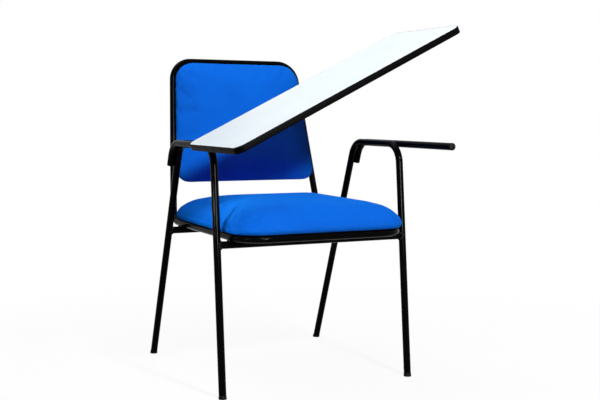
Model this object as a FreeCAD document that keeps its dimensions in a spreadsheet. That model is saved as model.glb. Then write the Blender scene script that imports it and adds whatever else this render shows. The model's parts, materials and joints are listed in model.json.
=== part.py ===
import FreeCAD, Part
import math
import os
import Sketcher

# Training chair with a folding writing tablet, in millimetres and degrees.
# The chair faces -Y, the sitter's right is -X and +Z is up.
# Heights are above the floor; forward and back run from the datum plane behind the arm's middle.

SIZES = (
    # Steel tube and its welded joints
    ("tube_diameter", 19.0),
    ("tube_wall", 1.5),
    ("weld_gap", 0.2),
    # Side frames: one bent tube each, front leg, arm and raked rear leg
    ("frame_half_width", 266.6),
    ("arm_height", 620.0),
    ("arm_bend_radius", 55.0),
    ("front_foot_forward", 238.5),
    ("front_arm_forward", 176.7),
    ("rear_arm_back", 65.1),
    ("rear_foot_back", 299.8),
    ("rail_height", 375.8),
    # Tablet bars beside the arms
    ("bar_forward", 399.5),
    ("bar_drop", 60.0),
    # Seat and back loop
    ("loop_half_width", 231.0),
    ("loop_front_forward", 280.0),
    ("loop_front_radius", 75.0),
    ("loop_seat_radius", 50.0),
    ("upright_back", 221.3),
    ("back_lean", 13.4),
    ("back_top_height", 848.8),
    ("back_top_half_width", 193.8),
    ("back_top_radius", 58.0),
    # Plugs in the tube ends
    ("foot_height", 9.0),
    ("foot_rim", 0.5),
    ("plug_edge", 1.5),
    ("plug_shank_length", 16.0),
    ("plug_clearance", 0.15),
    ("bar_plug_head", 4.0),
    ("bar_plug_edge", 3.2),
    # Seat
    ("seat_half_width", 242.0),
    ("seat_front_forward", 290.0),
    ("seat_rear_back", 188.0),
    ("seat_front_radius", 78.0),
    ("seat_rear_radius", 48.0),
    ("seat_pad_height", 78.0),
    ("pad_clearance", 0.3),
    ("seat_board_thickness", 10.0),
    ("seat_board_inset", 20.0),
    # Back pad, measured up the slope of the uprights from the seat corner
    ("back_pad_low", 112.0),
    ("back_pad_high", 457.0),
    ("back_pad_margin", -4.0),
    ("back_pad_top_radius", 54.0),
    ("back_pad_low_radius", 50.0),
    ("back_pad_thickness", 44.0),
    ("back_board_thickness", 9.0),
    ("back_board_inset", 20.0),
    # Fixing tabs and screws
    ("tab_length", 32.0),
    ("tab_reach", 36.0),
    ("tab_thickness", 3.0),
    ("tab_hole_diameter", 5.0),
    ("tab_hole_inset", 10.0),
    ("seat_tab_forward", 160.0),
    ("seat_tab_back", 110.0),
    ("back_tab_low", 165.0),
    ("back_tab_high", 385.0),
    ("screw_diameter", 4.2),
    ("screw_head_width", 8.0),
    ("screw_head_height", 2.6),
    ("screw_bite", 7.5),
    ("screw_clearance", 0.1),
    # Writing tablet, measured flat from the axis of the pivot bar
    ("tablet_raise", 26.5),
    ("tablet_overhang", 43.0),
    ("tablet_length", 650.6),
    ("tablet_rear_forward", 176.8),
    ("tablet_depth", 310.3),
    ("tablet_thickness", 16.0),
    ("tablet_corner_radius", 25.0),
    ("band_thickness", 2.0),
    ("laminate_thickness", 0.8),
    ("glue_line", 0.1),
    ("bar_clearance", 0.1),
    # Saddle straps that hold the tablet on the pivot bar
    ("strap_thickness", 2.0),
    ("strap_width", 30.0),
    ("strap_ear", 22.0),
    ("strap_front_forward", 370.0),
    ("strap_rear_forward", 230.0),
    ("core_hole_depth", 9.0),
    # Length by which a cutting tool runs past what it cuts
    ("overrun", 5.0),
)

# Cushion outlines as shares of the widest outline, and their heights as shares of the pad's height
PAD_SIZE_SHARES = (0.962, 0.992, 1.0, 0.985, 0.930, 0.800, 0.600, 0.360, 0.100)
PAD_HEIGHT_SHARES = (0.0, 0.08, 0.2, 0.41, 0.59, 0.77, 0.90, 0.97, 1.0)
PAD_CORNER_SIDES = 8

# Bores, holes and shanks that nothing shows have this many sides
HIDDEN_SIDES = 8
CORNER_SHARE = 1 / math.cos(math.pi / HIDDEN_SIDES)
HEAD_SIDES = 6

doc = FreeCAD.newDocument("tablet_chair")
sheet = doc.addObject("Spreadsheet::Sheet", "Sizes")
sub_parts = []


def fill_sheet():
    """Write each driving dimension in a cell of its own, with its name as the alias."""
    for row, (name, value) in enumerate(SIZES, start=1):
        sheet.set(f"A{row}", name)
        sheet.set(f"B{row}", str(value))
        sheet.setAlias(f"B{row}", name)
    doc.recompute()


fill_sheet()


def size(name):
    """Driving dimension, read from the sheet."""
    return float(sheet.get(name))


def number(expression):
    """Value of an expression over the sheet's names."""
    return float(sheet.evalExpression(expression))


TUBE_RADIUS = size("tube_diameter") / 2

# Half width over the flats of a bore that has the area of the tube's round one
BORE_FLAT_SHARE = math.sqrt(math.pi / HIDDEN_SIDES / math.tan(math.pi / HIDDEN_SIDES))
BORE_FLAT = (TUBE_RADIUS - size("tube_wall")) * BORE_FLAT_SHARE

# Legs in side view: places of their axes at the floor and at the arm
FRONT_RAKE = math.atan2(size("front_foot_forward") - size("front_arm_forward"), size("arm_height"))
REAR_RAKE = math.atan2(size("rear_foot_back") - size("rear_arm_back"), size("arm_height"))
ARM_MIDDLE = "(Sizes.rear_arm_back - Sizes.front_arm_forward) / 2"
ARM_HALF = "(Sizes.rear_arm_back + Sizes.front_arm_forward) / 2"


def front_leg_y(height):
    """Expression for the front leg's axis at a height, along Y."""
    drop = f"(Sizes.front_foot_forward - Sizes.front_arm_forward) * {height} / Sizes.arm_height"
    return f"({drop} - Sizes.front_foot_forward)"


def rear_leg_y(height):
    """Expression for the rear leg's axis at a height, along Y."""
    drop = f"(Sizes.rear_foot_back - Sizes.rear_arm_back) * {height} / Sizes.arm_height"
    return f"(Sizes.rear_foot_back - {drop})"


# The loop stands on the cross rails, and its uprights lean back in one plane
LOOP_HEIGHT = size("rail_height") + size("tube_diameter") + size("weld_gap")
LEAN = math.radians(size("back_lean"))
UPRIGHT_LENGTH = (size("back_top_height") - LOOP_HEIGHT) / math.cos(LEAN)
UPRIGHT_TAPER = math.atan2(size("loop_half_width") - size("back_top_half_width"), UPRIGHT_LENGTH)

# The seat lies on the top of the loop
SEAT_BASE = LOOP_HEIGHT + TUBE_RADIUS + size("pad_clearance")

# Tablet: its pivot bar is the one at the sitter's right
BAR_OFFSET = size("frame_half_width") + size("tube_diameter") + size("weld_gap")
UNDERSIDE = TUBE_RADIUS + size("bar_clearance")
RAISE = math.radians(size("tablet_raise"))


def origin_shift():
    """Vector from the middle of the whole chair's box on the floor to the datum."""
    high = UNDERSIDE + size("tablet_thickness")
    outboard = BAR_OFFSET + size("tablet_overhang") * math.cos(RAISE) + high * math.sin(RAISE)
    x_middle = (BAR_OFFSET + TUBE_RADIUS - outboard) / 2
    back = size("upright_back") + UPRIGHT_LENGTH * math.sin(LEAN) + TUBE_RADIUS
    front = size("tablet_rear_forward") + size("tablet_depth")
    return FreeCAD.Vector(-x_middle, -(back - front) / 2, 0)


SHIFT = origin_shift()


def place(item, x=0.0, y=0.0, z=0.0, rotation=None):
    """Put an object at a place given from the datum."""
    turn = rotation or FreeCAD.Rotation()
    item.Placement = FreeCAD.Placement(FreeCAD.Vector(x, y, z) + SHIFT, turn)
    return item


def keep(item, label):
    """Name an object as a sub-part that gets its own file."""
    item.Label = label
    sub_parts.append(item)
    return item


def rounded_wire(points, radii, closed=False, chords=0):
    """Wire through the points with a tangent arc at each corner, or as many chords of that arc."""
    count = len(points)
    corners = range(count) if closed else range(1, count - 1)
    cut = {}
    for index in corners:
        here = points[index]
        towards = (points[index - 1] - here).normalize()
        onwards = (points[(index + 1) % count] - here).normalize()
        half = towards.getAngle(onwards) / 2
        reach = radii[index] / math.tan(half)
        middle = (towards + onwards).normalize() * (radii[index] / math.sin(half) - radii[index])
        cut[index] = (here + towards * reach, here + middle, here + onwards * reach)
    edges = []
    for index in range(count if closed else count - 1):
        after = (index + 1) % count
        start = cut[index][2] if index in cut else points[index]
        end = cut[after][0] if after in cut else points[after]
        edges.append(Part.LineSegment(start, end).toShape())
        if after in cut:
            arc = Part.Arc(*cut[after]).toShape()
            sweep = arc.LastParameter - arc.FirstParameter
            spots = [
                arc.valueAt(arc.FirstParameter + sweep * step / chords)
                for step in range(chords + 1 if chords else 0)
            ]
            edges += [Part.LineSegment(*ends).toShape() for ends in zip(spots, spots[1:])] or [arc]
    return Part.Wire(edges)


def even_wire(flat, start, across, along):
    """Closed outline of equal sides about a start point, from its half width over the flats."""
    points = []
    for index in range(HIDDEN_SIDES + 1):
        angle = math.pi * (2 * index + 1) / HIDDEN_SIDES
        spoke = across * math.cos(angle) + along * math.sin(angle)
        points.append(start + spoke * flat * CORNER_SHARE)
    return Part.makePolygon(points)


def even_prism(flat, x, y, low, high):
    """Upright prism of equal sides between two levels."""
    base = even_wire(flat, FreeCAD.Vector(x, y, low), FreeCAD.Vector(1, 0, 0), FreeCAD.Vector(0, 1, 0))
    return Part.Face(base).extrude(FreeCAD.Vector(0, 0, high - low))


# Sketches and bodies


def origin_plane(body, role):
    """One of a body's own origin planes."""
    return next(item for item in body.Origin.OriginFeatures if item.Role == role)


def new_body(label):
    """Empty body that becomes a sub-part."""
    return keep(doc.addObject("PartDesign::Body", label), label)


def new_sketch(body, name, role):
    """Sketch on one of the body's own origin planes."""
    sketch = body.newObject("Sketcher::SketchObject", name)
    sketch.AttachmentSupport = [(origin_plane(body, role), "")]
    sketch.MapMode = "FlatFace"
    return sketch


def pin_point(sketch, geometry, vertex, x_expression, y_expression):
    """Hold a sketch point at a place given by two expressions."""
    for axis, expression in (("X", x_expression), ("Y", y_expression)):
        constraint = Sketcher.Constraint(
            f"Distance{axis}", -1, 1, geometry, vertex, number(expression)
        )
        index = sketch.addConstraint(constraint)
        sketch.setExpression(f"Constraints[{index}]", expression)


def draw_circle(sketch, diameter_expression):
    """Circle about the sketch's origin, sized by an expression."""
    radius = number(diameter_expression) / 2
    circle = Part.Circle(FreeCAD.Vector(), FreeCAD.Vector(0, 0, 1), radius)
    geometry = sketch.addGeometry(circle, False)
    sketch.addConstraint(Sketcher.Constraint("Coincident", geometry, 3, -1, 1))
    index = sketch.addConstraint(Sketcher.Constraint("Diameter", geometry, 2 * radius))
    sketch.setExpression(f"Constraints[{index}]", diameter_expression)


def draw_even_sides(sketch, diameter_expression):
    """Outline of equal sides about the sketch's origin, its corners on a circle of a diameter."""
    radius = number(diameter_expression) / 2
    circle = Part.Circle(FreeCAD.Vector(), FreeCAD.Vector(0, 0, 1), radius)
    ring = sketch.addGeometry(circle, True)
    sketch.addConstraint(Sketcher.Constraint("Coincident", ring, 3, -1, 1))
    index = sketch.addConstraint(Sketcher.Constraint("Diameter", ring, 2 * radius))
    sketch.setExpression(f"Constraints[{index}]", diameter_expression)
    across, along = FreeCAD.Vector(1, 0, 0), FreeCAD.Vector(0, 1, 0)
    outline = even_wire(radius / CORNER_SHARE, FreeCAD.Vector(), across, along)
    points = [corner.Point for corner in outline.Vertexes]
    lines = []
    for start, end in zip(points, points[1:] + points[:1]):
        lines.append(sketch.addGeometry(Part.LineSegment(start, end), False))
    for line, following in zip(lines, lines[1:] + lines[:1]):
        sketch.addConstraint(Sketcher.Constraint("Coincident", line, 2, following, 1))
        sketch.addConstraint(Sketcher.Constraint("PointOnObject", line, 1, ring))
    for line, following in zip(lines, lines[1:]):
        sketch.addConstraint(Sketcher.Constraint("Equal", line, following))
    sketch.addConstraint(Sketcher.Constraint("Horizontal", lines[1]))


def draw_tube_section(sketch):
    """Section of the steel tube."""
    draw_circle(sketch, "Sizes.tube_diameter")
    bore = f"(Sizes.tube_diameter - 2 * Sizes.tube_wall) * {BORE_FLAT_SHARE * CORNER_SHARE}"
    draw_even_sides(sketch, bore)


def draw_bent_path(sketch, start, corner, end, radius_expression):
    """Line, tangent arc and line, held by the expressions of three points and a radius."""
    start_at, corner_at, end_at = (
        FreeCAD.Vector(number(x), number(y), 0) for x, y in (start, corner, end)
    )
    radius = number(radius_expression)
    towards = (start_at - corner_at).normalize()
    onwards = (end_at - corner_at).normalize()
    half = towards.getAngle(onwards) / 2
    reach = radius / math.tan(half)
    bend_start, bend_end = corner_at + towards * reach, corner_at + onwards * reach
    centre = corner_at + (towards + onwards).normalize() * (radius / math.sin(half))
    # A sketch holds its arcs anticlockwise, so a right-hand bend is drawn from its far end
    near, far = (1, 2) if towards.cross(onwards).z < 0 else (2, 1)
    arc_ends = (bend_start, bend_end) if near == 1 else (bend_end, bend_start)
    low, high = (math.atan2(spot.y - centre.y, spot.x - centre.x) for spot in arc_ends)
    circle = Part.Circle(centre, FreeCAD.Vector(0, 0, 1), radius)
    first = sketch.addGeometry(Part.LineSegment(start_at, bend_start), False)
    bend = sketch.addGeometry(Part.ArcOfCircle(circle, low, high), False)
    last = sketch.addGeometry(Part.LineSegment(bend_end, end_at), False)
    corner_point = sketch.addGeometry(Part.Point(corner_at), True)
    sketch.addConstraint(Sketcher.Constraint("Tangent", first, 2, bend, near))
    sketch.addConstraint(Sketcher.Constraint("Tangent", last, 1, bend, far))
    sketch.addConstraint(Sketcher.Constraint("PointOnObject", corner_point, 1, first))
    sketch.addConstraint(Sketcher.Constraint("PointOnObject", corner_point, 1, last))
    index = sketch.addConstraint(Sketcher.Constraint("Radius", bend, radius))
    sketch.setExpression(f"Constraints[{index}]", radius_expression)
    pin_point(sketch, first, 1, *start)
    pin_point(sketch, corner_point, 1, *corner)
    pin_point(sketch, last, 2, *end)


def add_pipe(body, section, path, name):
    """Sweep the section along the path."""
    pipe = body.newObject("PartDesign::AdditivePipe", name)
    pipe.Profile = section
    pipe.Spine = path
    return pipe


# Side frames and tablet bars


def side_frame(label, side):
    """Front leg, arm and raked rear leg bent from one tube; its origin is the arm's middle."""
    body = new_body(label)
    section = new_sketch(body, f"{label}_section", "XZ_Plane")
    draw_tube_section(section)
    foot_drop = "Sizes.foot_height - Sizes.arm_height"
    runs = (
        ("front", f"-{ARM_HALF}", front_leg_y("Sizes.foot_height")),
        ("rear", ARM_HALF, rear_leg_y("Sizes.foot_height")),
    )
    for name, corner_y, foot_y in runs:
        path = new_sketch(body, f"{label}_{name}_path", "YZ_Plane")
        foot = (f"{foot_y} - {ARM_MIDDLE}", foot_drop)
        draw_bent_path(path, ("0", "0"), (corner_y, "0"), foot, "Sizes.arm_bend_radius")
        add_pipe(body, section, path, f"{label}_{name}_run")
    place(body, side * size("frame_half_width"), number(ARM_MIDDLE), size("arm_height"))


def tablet_bar(label, side):
    """Bar beside the arm, bent down along the rear leg; its origin is its front end."""
    body = new_body(label)
    section = new_sketch(body, f"{label}_section", "XZ_Plane")
    draw_tube_section(section)
    path = new_sketch(body, f"{label}_path", "YZ_Plane")
    corner = ("Sizes.bar_forward + Sizes.rear_arm_back", "0")
    end_height = "(Sizes.arm_height - Sizes.bar_drop)"
    end = (f"{rear_leg_y(end_height)} + Sizes.bar_forward", "-Sizes.bar_drop")
    draw_bent_path(path, ("0", "0"), corner, end, "Sizes.arm_bend_radius")
    add_pipe(body, section, path, f"{label}_run")
    place(body, side * BAR_OFFSET, -size("bar_forward"), size("arm_height"))


def leg_cutter(side, foot_y, rake):
    """Cylinder on a leg's axis, as wide as the leg and its weld gap."""
    cutter = doc.addObject("Part::Cylinder", "leg_cutter")
    cutter.setExpression("Radius", "Sizes.tube_diameter / 2 + Sizes.weld_gap")
    cutter.setExpression("Height", "Sizes.arm_height")
    turn = FreeCAD.Rotation(FreeCAD.Vector(1, 0, 0), math.degrees(rake))
    return place(cutter, side * size("frame_half_width"), foot_y, 0.0, turn)


def cross_rail(label, foot_y, rake, rail_y):
    """Straight rail between two legs, its ends coped to their round."""
    body = doc.addObject("PartDesign::Body", f"{label}_tube")
    section = new_sketch(body, f"{label}_section", "YZ_Plane")
    draw_tube_section(section)
    pad = body.newObject("PartDesign::Pad", f"{label}_length")
    pad.Profile = section
    pad.Midplane = True
    pad.setExpression("Length", "2 * Sizes.frame_half_width")
    place(body, 0.0, rail_y, size("rail_height"))
    legs = doc.addObject("Part::MultiFuse", f"{label}_legs")
    legs.Shapes = [leg_cutter(side, foot_y, rake) for side in (-1, 1)]
    rail = doc.addObject("Part::Cut", label)
    rail.Base = body
    rail.Tool = legs
    keep(rail, label)


# Seat and back loop


def back_rotation():
    """Turn from upright to the lean of the back."""
    return FreeCAD.Rotation(FreeCAD.Vector(1, 0, 0), -size("back_lean"))


def back_point(x, y, z):
    """Point given on the leaning back, from the corner of uprights and side rails."""
    corner = FreeCAD.Vector(0, size("upright_back"), LOOP_HEIGHT)
    return corner + back_rotation().multVec(FreeCAD.Vector(x, y, z))


def loop_half_path():
    """Path from the middle of the top to the middle of the front, on the +X side."""
    wide = size("loop_half_width")
    front = -size("loop_front_forward")
    points = [
        back_point(0, 0, UPRIGHT_LENGTH),
        back_point(size("back_top_half_width"), 0, UPRIGHT_LENGTH),
        back_point(wide, 0, 0),
        FreeCAD.Vector(wide, front, LOOP_HEIGHT),
        FreeCAD.Vector(0, front, LOOP_HEIGHT),
    ]
    radii = [0, size("back_top_radius"), size("loop_seat_radius"), size("loop_front_radius"), 0]
    return rounded_wire(points, radii)


def seat_back_loop():
    """Closed loop of tube: inverted U of the back, side rails and front of the seat."""
    path = loop_half_path()
    start = path.Edges[0].Vertexes[0].Point
    outer = Part.Wire(Part.Circle(start, FreeCAD.Vector(1, 0, 0), TUBE_RADIUS).toShape())
    bore = even_wire(BORE_FLAT, start, FreeCAD.Vector(0, 1, 0), FreeCAD.Vector(0, 0, 1))
    pipe, hollow = (path.makePipeShell([wire], True, False) for wire in (outer, bore))
    half = pipe.cut(hollow)
    other = half.mirror(FreeCAD.Vector(), FreeCAD.Vector(1, 0, 0))
    loop = doc.addObject("Part::Feature", "seat_back_loop")
    loop.Shape = half.fuse(other).removeSplitter()
    place(loop)
    keep(loop, "seat_back_loop")


# Plugs in the tube ends


def turned_plug(label, head_radius, head_low, edge):
    """Plug on Z with a turned head below height zero, its lower edge broken, and a shank above."""
    outline = [
        FreeCAD.Vector(0, head_low, 0),
        FreeCAD.Vector(head_radius - edge, head_low, 0),
        FreeCAD.Vector(head_radius, head_low + edge, 0),
        FreeCAD.Vector(head_radius, 0, 0),
        FreeCAD.Vector(),
    ]
    body = doc.addObject("PartDesign::Body", label)
    sketch = new_sketch(body, f"{label}_outline", "XZ_Plane")
    for start, end in zip(outline, outline[1:] + outline[:1]):
        sketch.addGeometry(Part.LineSegment(start, end), False)
    head = body.newObject("PartDesign::Revolution", f"{label}_head")
    head.Profile = sketch
    head.ReferenceAxis = (sketch, ["V_Axis"])
    section = new_sketch(body, f"{label}_section", "XY_Plane")
    width = f"(Sizes.tube_diameter - 2 * Sizes.tube_wall) * {BORE_FLAT_SHARE}"
    draw_even_sides(section, f"({width} - 2 * Sizes.plug_clearance) * {CORNER_SHARE}")
    shank = body.newObject("PartDesign::Pad", f"{label}_shank")
    shank.Profile = section
    shank.setExpression("Length", "Sizes.plug_shank_length")
    return body


def foot_plug(label, side, leg_y, rake):
    """Foot plug in a leg's end, cut level with the floor."""
    head_radius = TUBE_RADIUS + size("foot_rim")
    head_low = -size("foot_height") - size("tube_diameter") * math.tan(abs(rake))
    plug = turned_plug(f"{label}_blank", head_radius, head_low, size("plug_edge"))
    end_y = number(leg_y("Sizes.foot_height"))
    turn = FreeCAD.Rotation(FreeCAD.Vector(1, 0, 0), math.degrees(rake))
    place(plug, side * size("frame_half_width"), end_y, size("foot_height"), turn)
    floor = doc.addObject("Part::Box", f"{label}_floor")
    width = 2 * (size("tube_diameter") - head_low)
    floor.Length = floor.Width = floor.Height = width
    place(floor, side * size("frame_half_width") - width / 2, end_y - width / 2, -width)
    foot = doc.addObject("Part::Cut", label)
    foot.Base = plug
    foot.Tool = floor
    return foot


def bar_plug(label, side):
    """Plug in the front end of a tablet bar."""
    plug = turned_plug(label, TUBE_RADIUS, -size("bar_plug_head"), size("bar_plug_edge"))
    turn = FreeCAD.Rotation(FreeCAD.Vector(1, 0, 0), -90)
    return place(plug, side * BAR_OFFSET, -size("bar_forward"), size("arm_height"), turn)


def plug_sets():
    """Foot plugs and bar plugs, each kind a sub-part of its own."""
    feet = []
    for name, side in (("right", -1), ("left", 1)):
        feet.append(foot_plug(f"front_{name}_foot", side, front_leg_y, -FRONT_RAKE))
        feet.append(foot_plug(f"rear_{name}_foot", side, rear_leg_y, REAR_RAKE))
    plugs = [bar_plug("pivot_bar_plug", -1), bar_plug("rest_bar_plug", 1)]
    for label, items in (("foot_plugs", feet), ("bar_plugs", plugs)):
        group = doc.addObject("Part::Compound", label)
        group.Links = items
        keep(group, label)


# Pads and boards


def flat_outline(half_low, half_high, low, high, radius_low, radius_high, chords=0):
    """Closed outline with rounded corners, symmetric about X zero, in the XY plane."""
    points = [
        FreeCAD.Vector(-half_low, low, 0),
        FreeCAD.Vector(half_low, low, 0),
        FreeCAD.Vector(half_high, high, 0),
        FreeCAD.Vector(-half_high, high, 0),
    ]
    radii = [radius_low, radius_low, radius_high, radius_high]
    return rounded_wire(points, radii, True, chords)


def slab(outline, low, high):
    """Plate between two levels, with a flat outline."""
    base = outline.copy()
    base.translate(FreeCAD.Vector(0, 0, low))
    return Part.Face(base).extrude(FreeCAD.Vector(0, 0, high - low))


def pad_form(half_low, half_high, low, high, radius_low, radius_high, height):
    """Crowned pad whose sides draw in towards its base and its crown, from flat facets."""
    middle = (low + high) / 2
    sections = []
    for size_share, height_share in zip(PAD_SIZE_SHARES, PAD_HEIGHT_SHARES):
        outline = flat_outline(
            half_low * size_share,
            half_high * size_share,
            middle + (low - middle) * size_share,
            middle + (high - middle) * size_share,
            radius_low * size_share,
            radius_high * size_share,
            PAD_CORNER_SIDES,
        )
        outline.translate(FreeCAD.Vector(0, 0, height * height_share))
        sections.append([corner.Point for corner in outline.OrderedVertexes])
    faces = [Part.Face(Part.makePolygon(ring + ring[:1])) for ring in (sections[0], sections[-1])]
    for lower, upper in zip(sections, sections[1:]):
        for index, start in enumerate(lower):
            after = (index + 1) % len(lower)
            ring = [start, lower[after], upper[after], upper[index], start]
            faces.append(Part.Face(Part.makePolygon(ring)))
    return Part.Solid(Part.makeShell(faces))


def upright_x(level):
    """Half width of the upright's axis at a level up the slope."""
    return size("loop_half_width") - level * math.tan(UPRIGHT_TAPER)


class Seat:
    """Outline of the seat, and what is cut to it."""

    half = size("seat_half_width")
    front = -size("seat_front_forward")
    rear = size("seat_rear_back")
    front_radius = size("seat_front_radius")
    rear_radius = size("seat_rear_radius")

    @classmethod
    def outline(cls, inset):
        """Outline of the seat, drawn in all round."""
        side = cls.half - inset
        radii = (cls.front_radius - inset, cls.rear_radius - inset)
        return flat_outline(side, side, cls.front + inset, cls.rear - inset, *radii)


class Back:
    """Outline of the back pad on the slope of the uprights, and what is cut to it."""

    low = size("back_pad_low")
    high = size("back_pad_high")

    @classmethod
    def half_width(cls, level):
        """Half width of the pad at a level up the slope."""
        return upright_x(level) + size("back_pad_margin")

    @classmethod
    def outline(cls, inset):
        """Outline of the pad, drawn in all round."""
        low, high = cls.low + inset, cls.high - inset
        radius_low = size("back_pad_low_radius") - inset
        radius_high = size("back_pad_top_radius") - inset
        half_low, half_high = cls.half_width(low) - inset, cls.half_width(high) - inset
        return flat_outline(half_low, half_high, low, high, radius_low, radius_high)


def hole_cutters(places, diameter, low, high):
    """Cutters for screw holes through whatever lies between two levels."""
    return Part.makeCompound([even_prism(diameter / 2, x, y, low, high) for x, y in places])


def screw_places(pairs):
    """Screw places on both sides from pairs of half width and level."""
    return [(side * x, y) for x, y in pairs for side in (-1, 1)]


def tab_hole_x(axis_x):
    """Half width of a tab's hole from that of the tube's axis."""
    return axis_x - size("tab_reach") + size("tab_hole_inset")


SEAT_SCREWS = screw_places(
    (tab_hole_x(size("loop_half_width")), y)
    for y in (-size("seat_tab_forward"), size("seat_tab_back"))
)
BACK_TAB_LEVELS = (size("back_tab_low"), size("back_tab_high"))


BACK_SCREWS = screw_places((tab_hole_x(upright_x(z)), z) for z in BACK_TAB_LEVELS)


def shape_part(label, shape, rotation=None, at=None):
    """Sub-part from a shape drawn in its own flat frame."""
    item = doc.addObject("Part::Feature", label)
    item.Shape = shape
    spot = at or FreeCAD.Vector()
    place(item, spot.x, spot.y, spot.z, rotation)
    keep(item, label)


def upholstery(outline, form, screws, board_thickness, inset, labels, rotation=None, at=None):
    """Board and pad of a cushion; its flat frame starts at the board's lower face."""
    board_label, pad_label = labels
    pilot = size("screw_diameter") + 2 * size("screw_clearance")
    board = slab(outline(inset), 0, board_thickness)
    board = board.cut(hole_cutters(screws, pilot, 0, board_thickness))
    recess = slab(outline(inset - size("pad_clearance")), -size("overrun"), board_thickness)
    shape_part(board_label, board, rotation, at)
    shape_part(pad_label, form.cut(recess), rotation, at)


def seat_upholstery():
    """Seat cushion on its board, standing on the loop."""
    form = pad_form(
        Seat.half, Seat.half, Seat.front, Seat.rear, Seat.front_radius, Seat.rear_radius,
        size("seat_pad_height"),
    )
    labels = ("seat_board", "seat_cushion")
    base = FreeCAD.Vector(0, 0, SEAT_BASE)
    inset = size("seat_board_inset")
    thickness = size("seat_board_thickness")
    upholstery(Seat.outline, form, SEAT_SCREWS, thickness, inset, labels, at=base)


def back_frame():
    """Turn and place of a flat frame whose X is the chair's, Y runs up the back and Z forward."""
    upright = FreeCAD.Rotation(FreeCAD.Vector(1, 0, 0), 90)
    return back_rotation().multiply(upright)


def back_upholstery():
    """Back cushion on its board, in front of the uprights."""
    form = pad_form(
        Back.half_width(Back.low), Back.half_width(Back.high), Back.low, Back.high,
        size("back_pad_low_radius"), size("back_pad_top_radius"),
        size("back_pad_thickness"),
    )
    labels = ("back_board", "back_cushion")
    base = back_point(0, -TUBE_RADIUS - size("pad_clearance"), 0)
    inset = size("back_board_inset")
    thickness = size("back_board_thickness")
    upholstery(
        Back.outline, form, BACK_SCREWS, thickness, inset, labels, back_frame(), base
    )


# Fixing tabs and screws


def tab_group(label, places, axis_x, taper, rotation=None, at=None):
    """Steel tabs welded inside the tubes; in the flat frame their outer face is at level zero."""
    thickness, length = size("tab_thickness"), size("tab_length")
    # The tube's half width at the depth of the tab's lower face
    half_width = math.sqrt(TUBE_RADIUS**2 - (TUBE_RADIUS - thickness) ** 2)
    stand_off = half_width / math.cos(taper) + size("weld_gap") + math.tan(taper) * length / 2
    tabs = []
    for x, y in places:
        outer = axis_x(y) - stand_off
        inner = axis_x(y) - size("tab_reach")
        low_x = inner if x > 0 else -outer
        corner = FreeCAD.Vector(low_x, y - length / 2, -thickness)
        tabs.append(Part.makeBox(outer - inner, length, thickness, corner))
    holes = hole_cutters(places, size("tab_hole_diameter"), -thickness, 0)
    shape_part(label, Part.makeCompound(tabs).cut(holes), rotation, at)


def screw_shape(length):
    """Six-sided head and shank pointing up; the head's bearing face is at height zero."""
    corners = []
    for index in range(HEAD_SIDES + 1):
        angle = 2 * math.pi * index / HEAD_SIDES
        spoke = FreeCAD.Vector(math.cos(angle), math.sin(angle), 0)
        corners.append(spoke * (size("screw_head_width") / 2 / math.cos(math.pi / HEAD_SIDES)))
    face = Part.Face(Part.makePolygon(corners))
    head = face.extrude(FreeCAD.Vector(0, 0, -size("screw_head_height")))
    return head.fuse(even_prism(size("screw_diameter") / 2, 0, 0, 0, length))


def screw_group(label, places, bearing, length, rotation=None, at=None):
    """Screws that point up from one bearing level in a flat frame."""
    screws = []
    for x, y in places:
        screw = screw_shape(length)
        screw.translate(FreeCAD.Vector(x, y, bearing))
        screws.append(screw)
    shape_part(label, Part.makeCompound(screws), rotation, at)


def fixings():
    """Tabs and screws of the seat and the back."""
    seat_base = FreeCAD.Vector(0, 0, SEAT_BASE - size("pad_clearance"))
    back_base = back_point(0, -TUBE_RADIUS, 0)
    tab_group(
        "seat_tabs", SEAT_SCREWS, lambda y: size("loop_half_width"), 0.0, None, seat_base
    )
    tab_group("back_tabs", BACK_SCREWS, upright_x, UPRIGHT_TAPER, back_frame(), back_base)
    length = size("tab_thickness") + size("pad_clearance") + size("screw_bite")
    bearing = -size("tab_thickness")
    screw_group("seat_screws", SEAT_SCREWS, bearing, length, None, seat_base)
    screw_group("back_screws", BACK_SCREWS, bearing, length, back_frame(), back_base)


# Writing tablet, drawn flat with its origin on the pivot axis and X towards the sitter's left


TABLET_LOW = UNDERSIDE
TABLET_HIGH = UNDERSIDE + size("tablet_thickness")
TABLET_MIDDLE = size("tablet_length") / 2 - size("tablet_overhang")


def tablet_outline(inset):
    """Rounded outline of the tablet, drawn in all round."""
    half = size("tablet_length") / 2 - inset
    front = -size("tablet_rear_forward") - size("tablet_depth") + inset
    rear = -size("tablet_rear_forward") - inset
    radius = size("tablet_corner_radius") - inset
    outline = flat_outline(half, half, front, rear, radius, radius)
    outline.translate(FreeCAD.Vector(TABLET_MIDDLE, 0, 0))
    return outline


def tablet_part(label, shape):
    """Sub-part that turns with the tablet, placed at its raised rest pose."""
    turn = FreeCAD.Rotation(FreeCAD.Vector(0, 1, 0), -size("tablet_raise"))
    pivot = FreeCAD.Vector(-BAR_OFFSET, 0, size("arm_height"))
    shape_part(label, shape, turn, pivot)


def strap_screw_places():
    """Places of the strap screws, one in each ear."""
    ear_middle = UNDERSIDE + size("strap_thickness") + size("strap_ear") / 2
    levels = (-size("strap_front_forward"), -size("strap_rear_forward"))
    return [(side * ear_middle, y) for y in levels for side in (-1, 1)]


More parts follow.
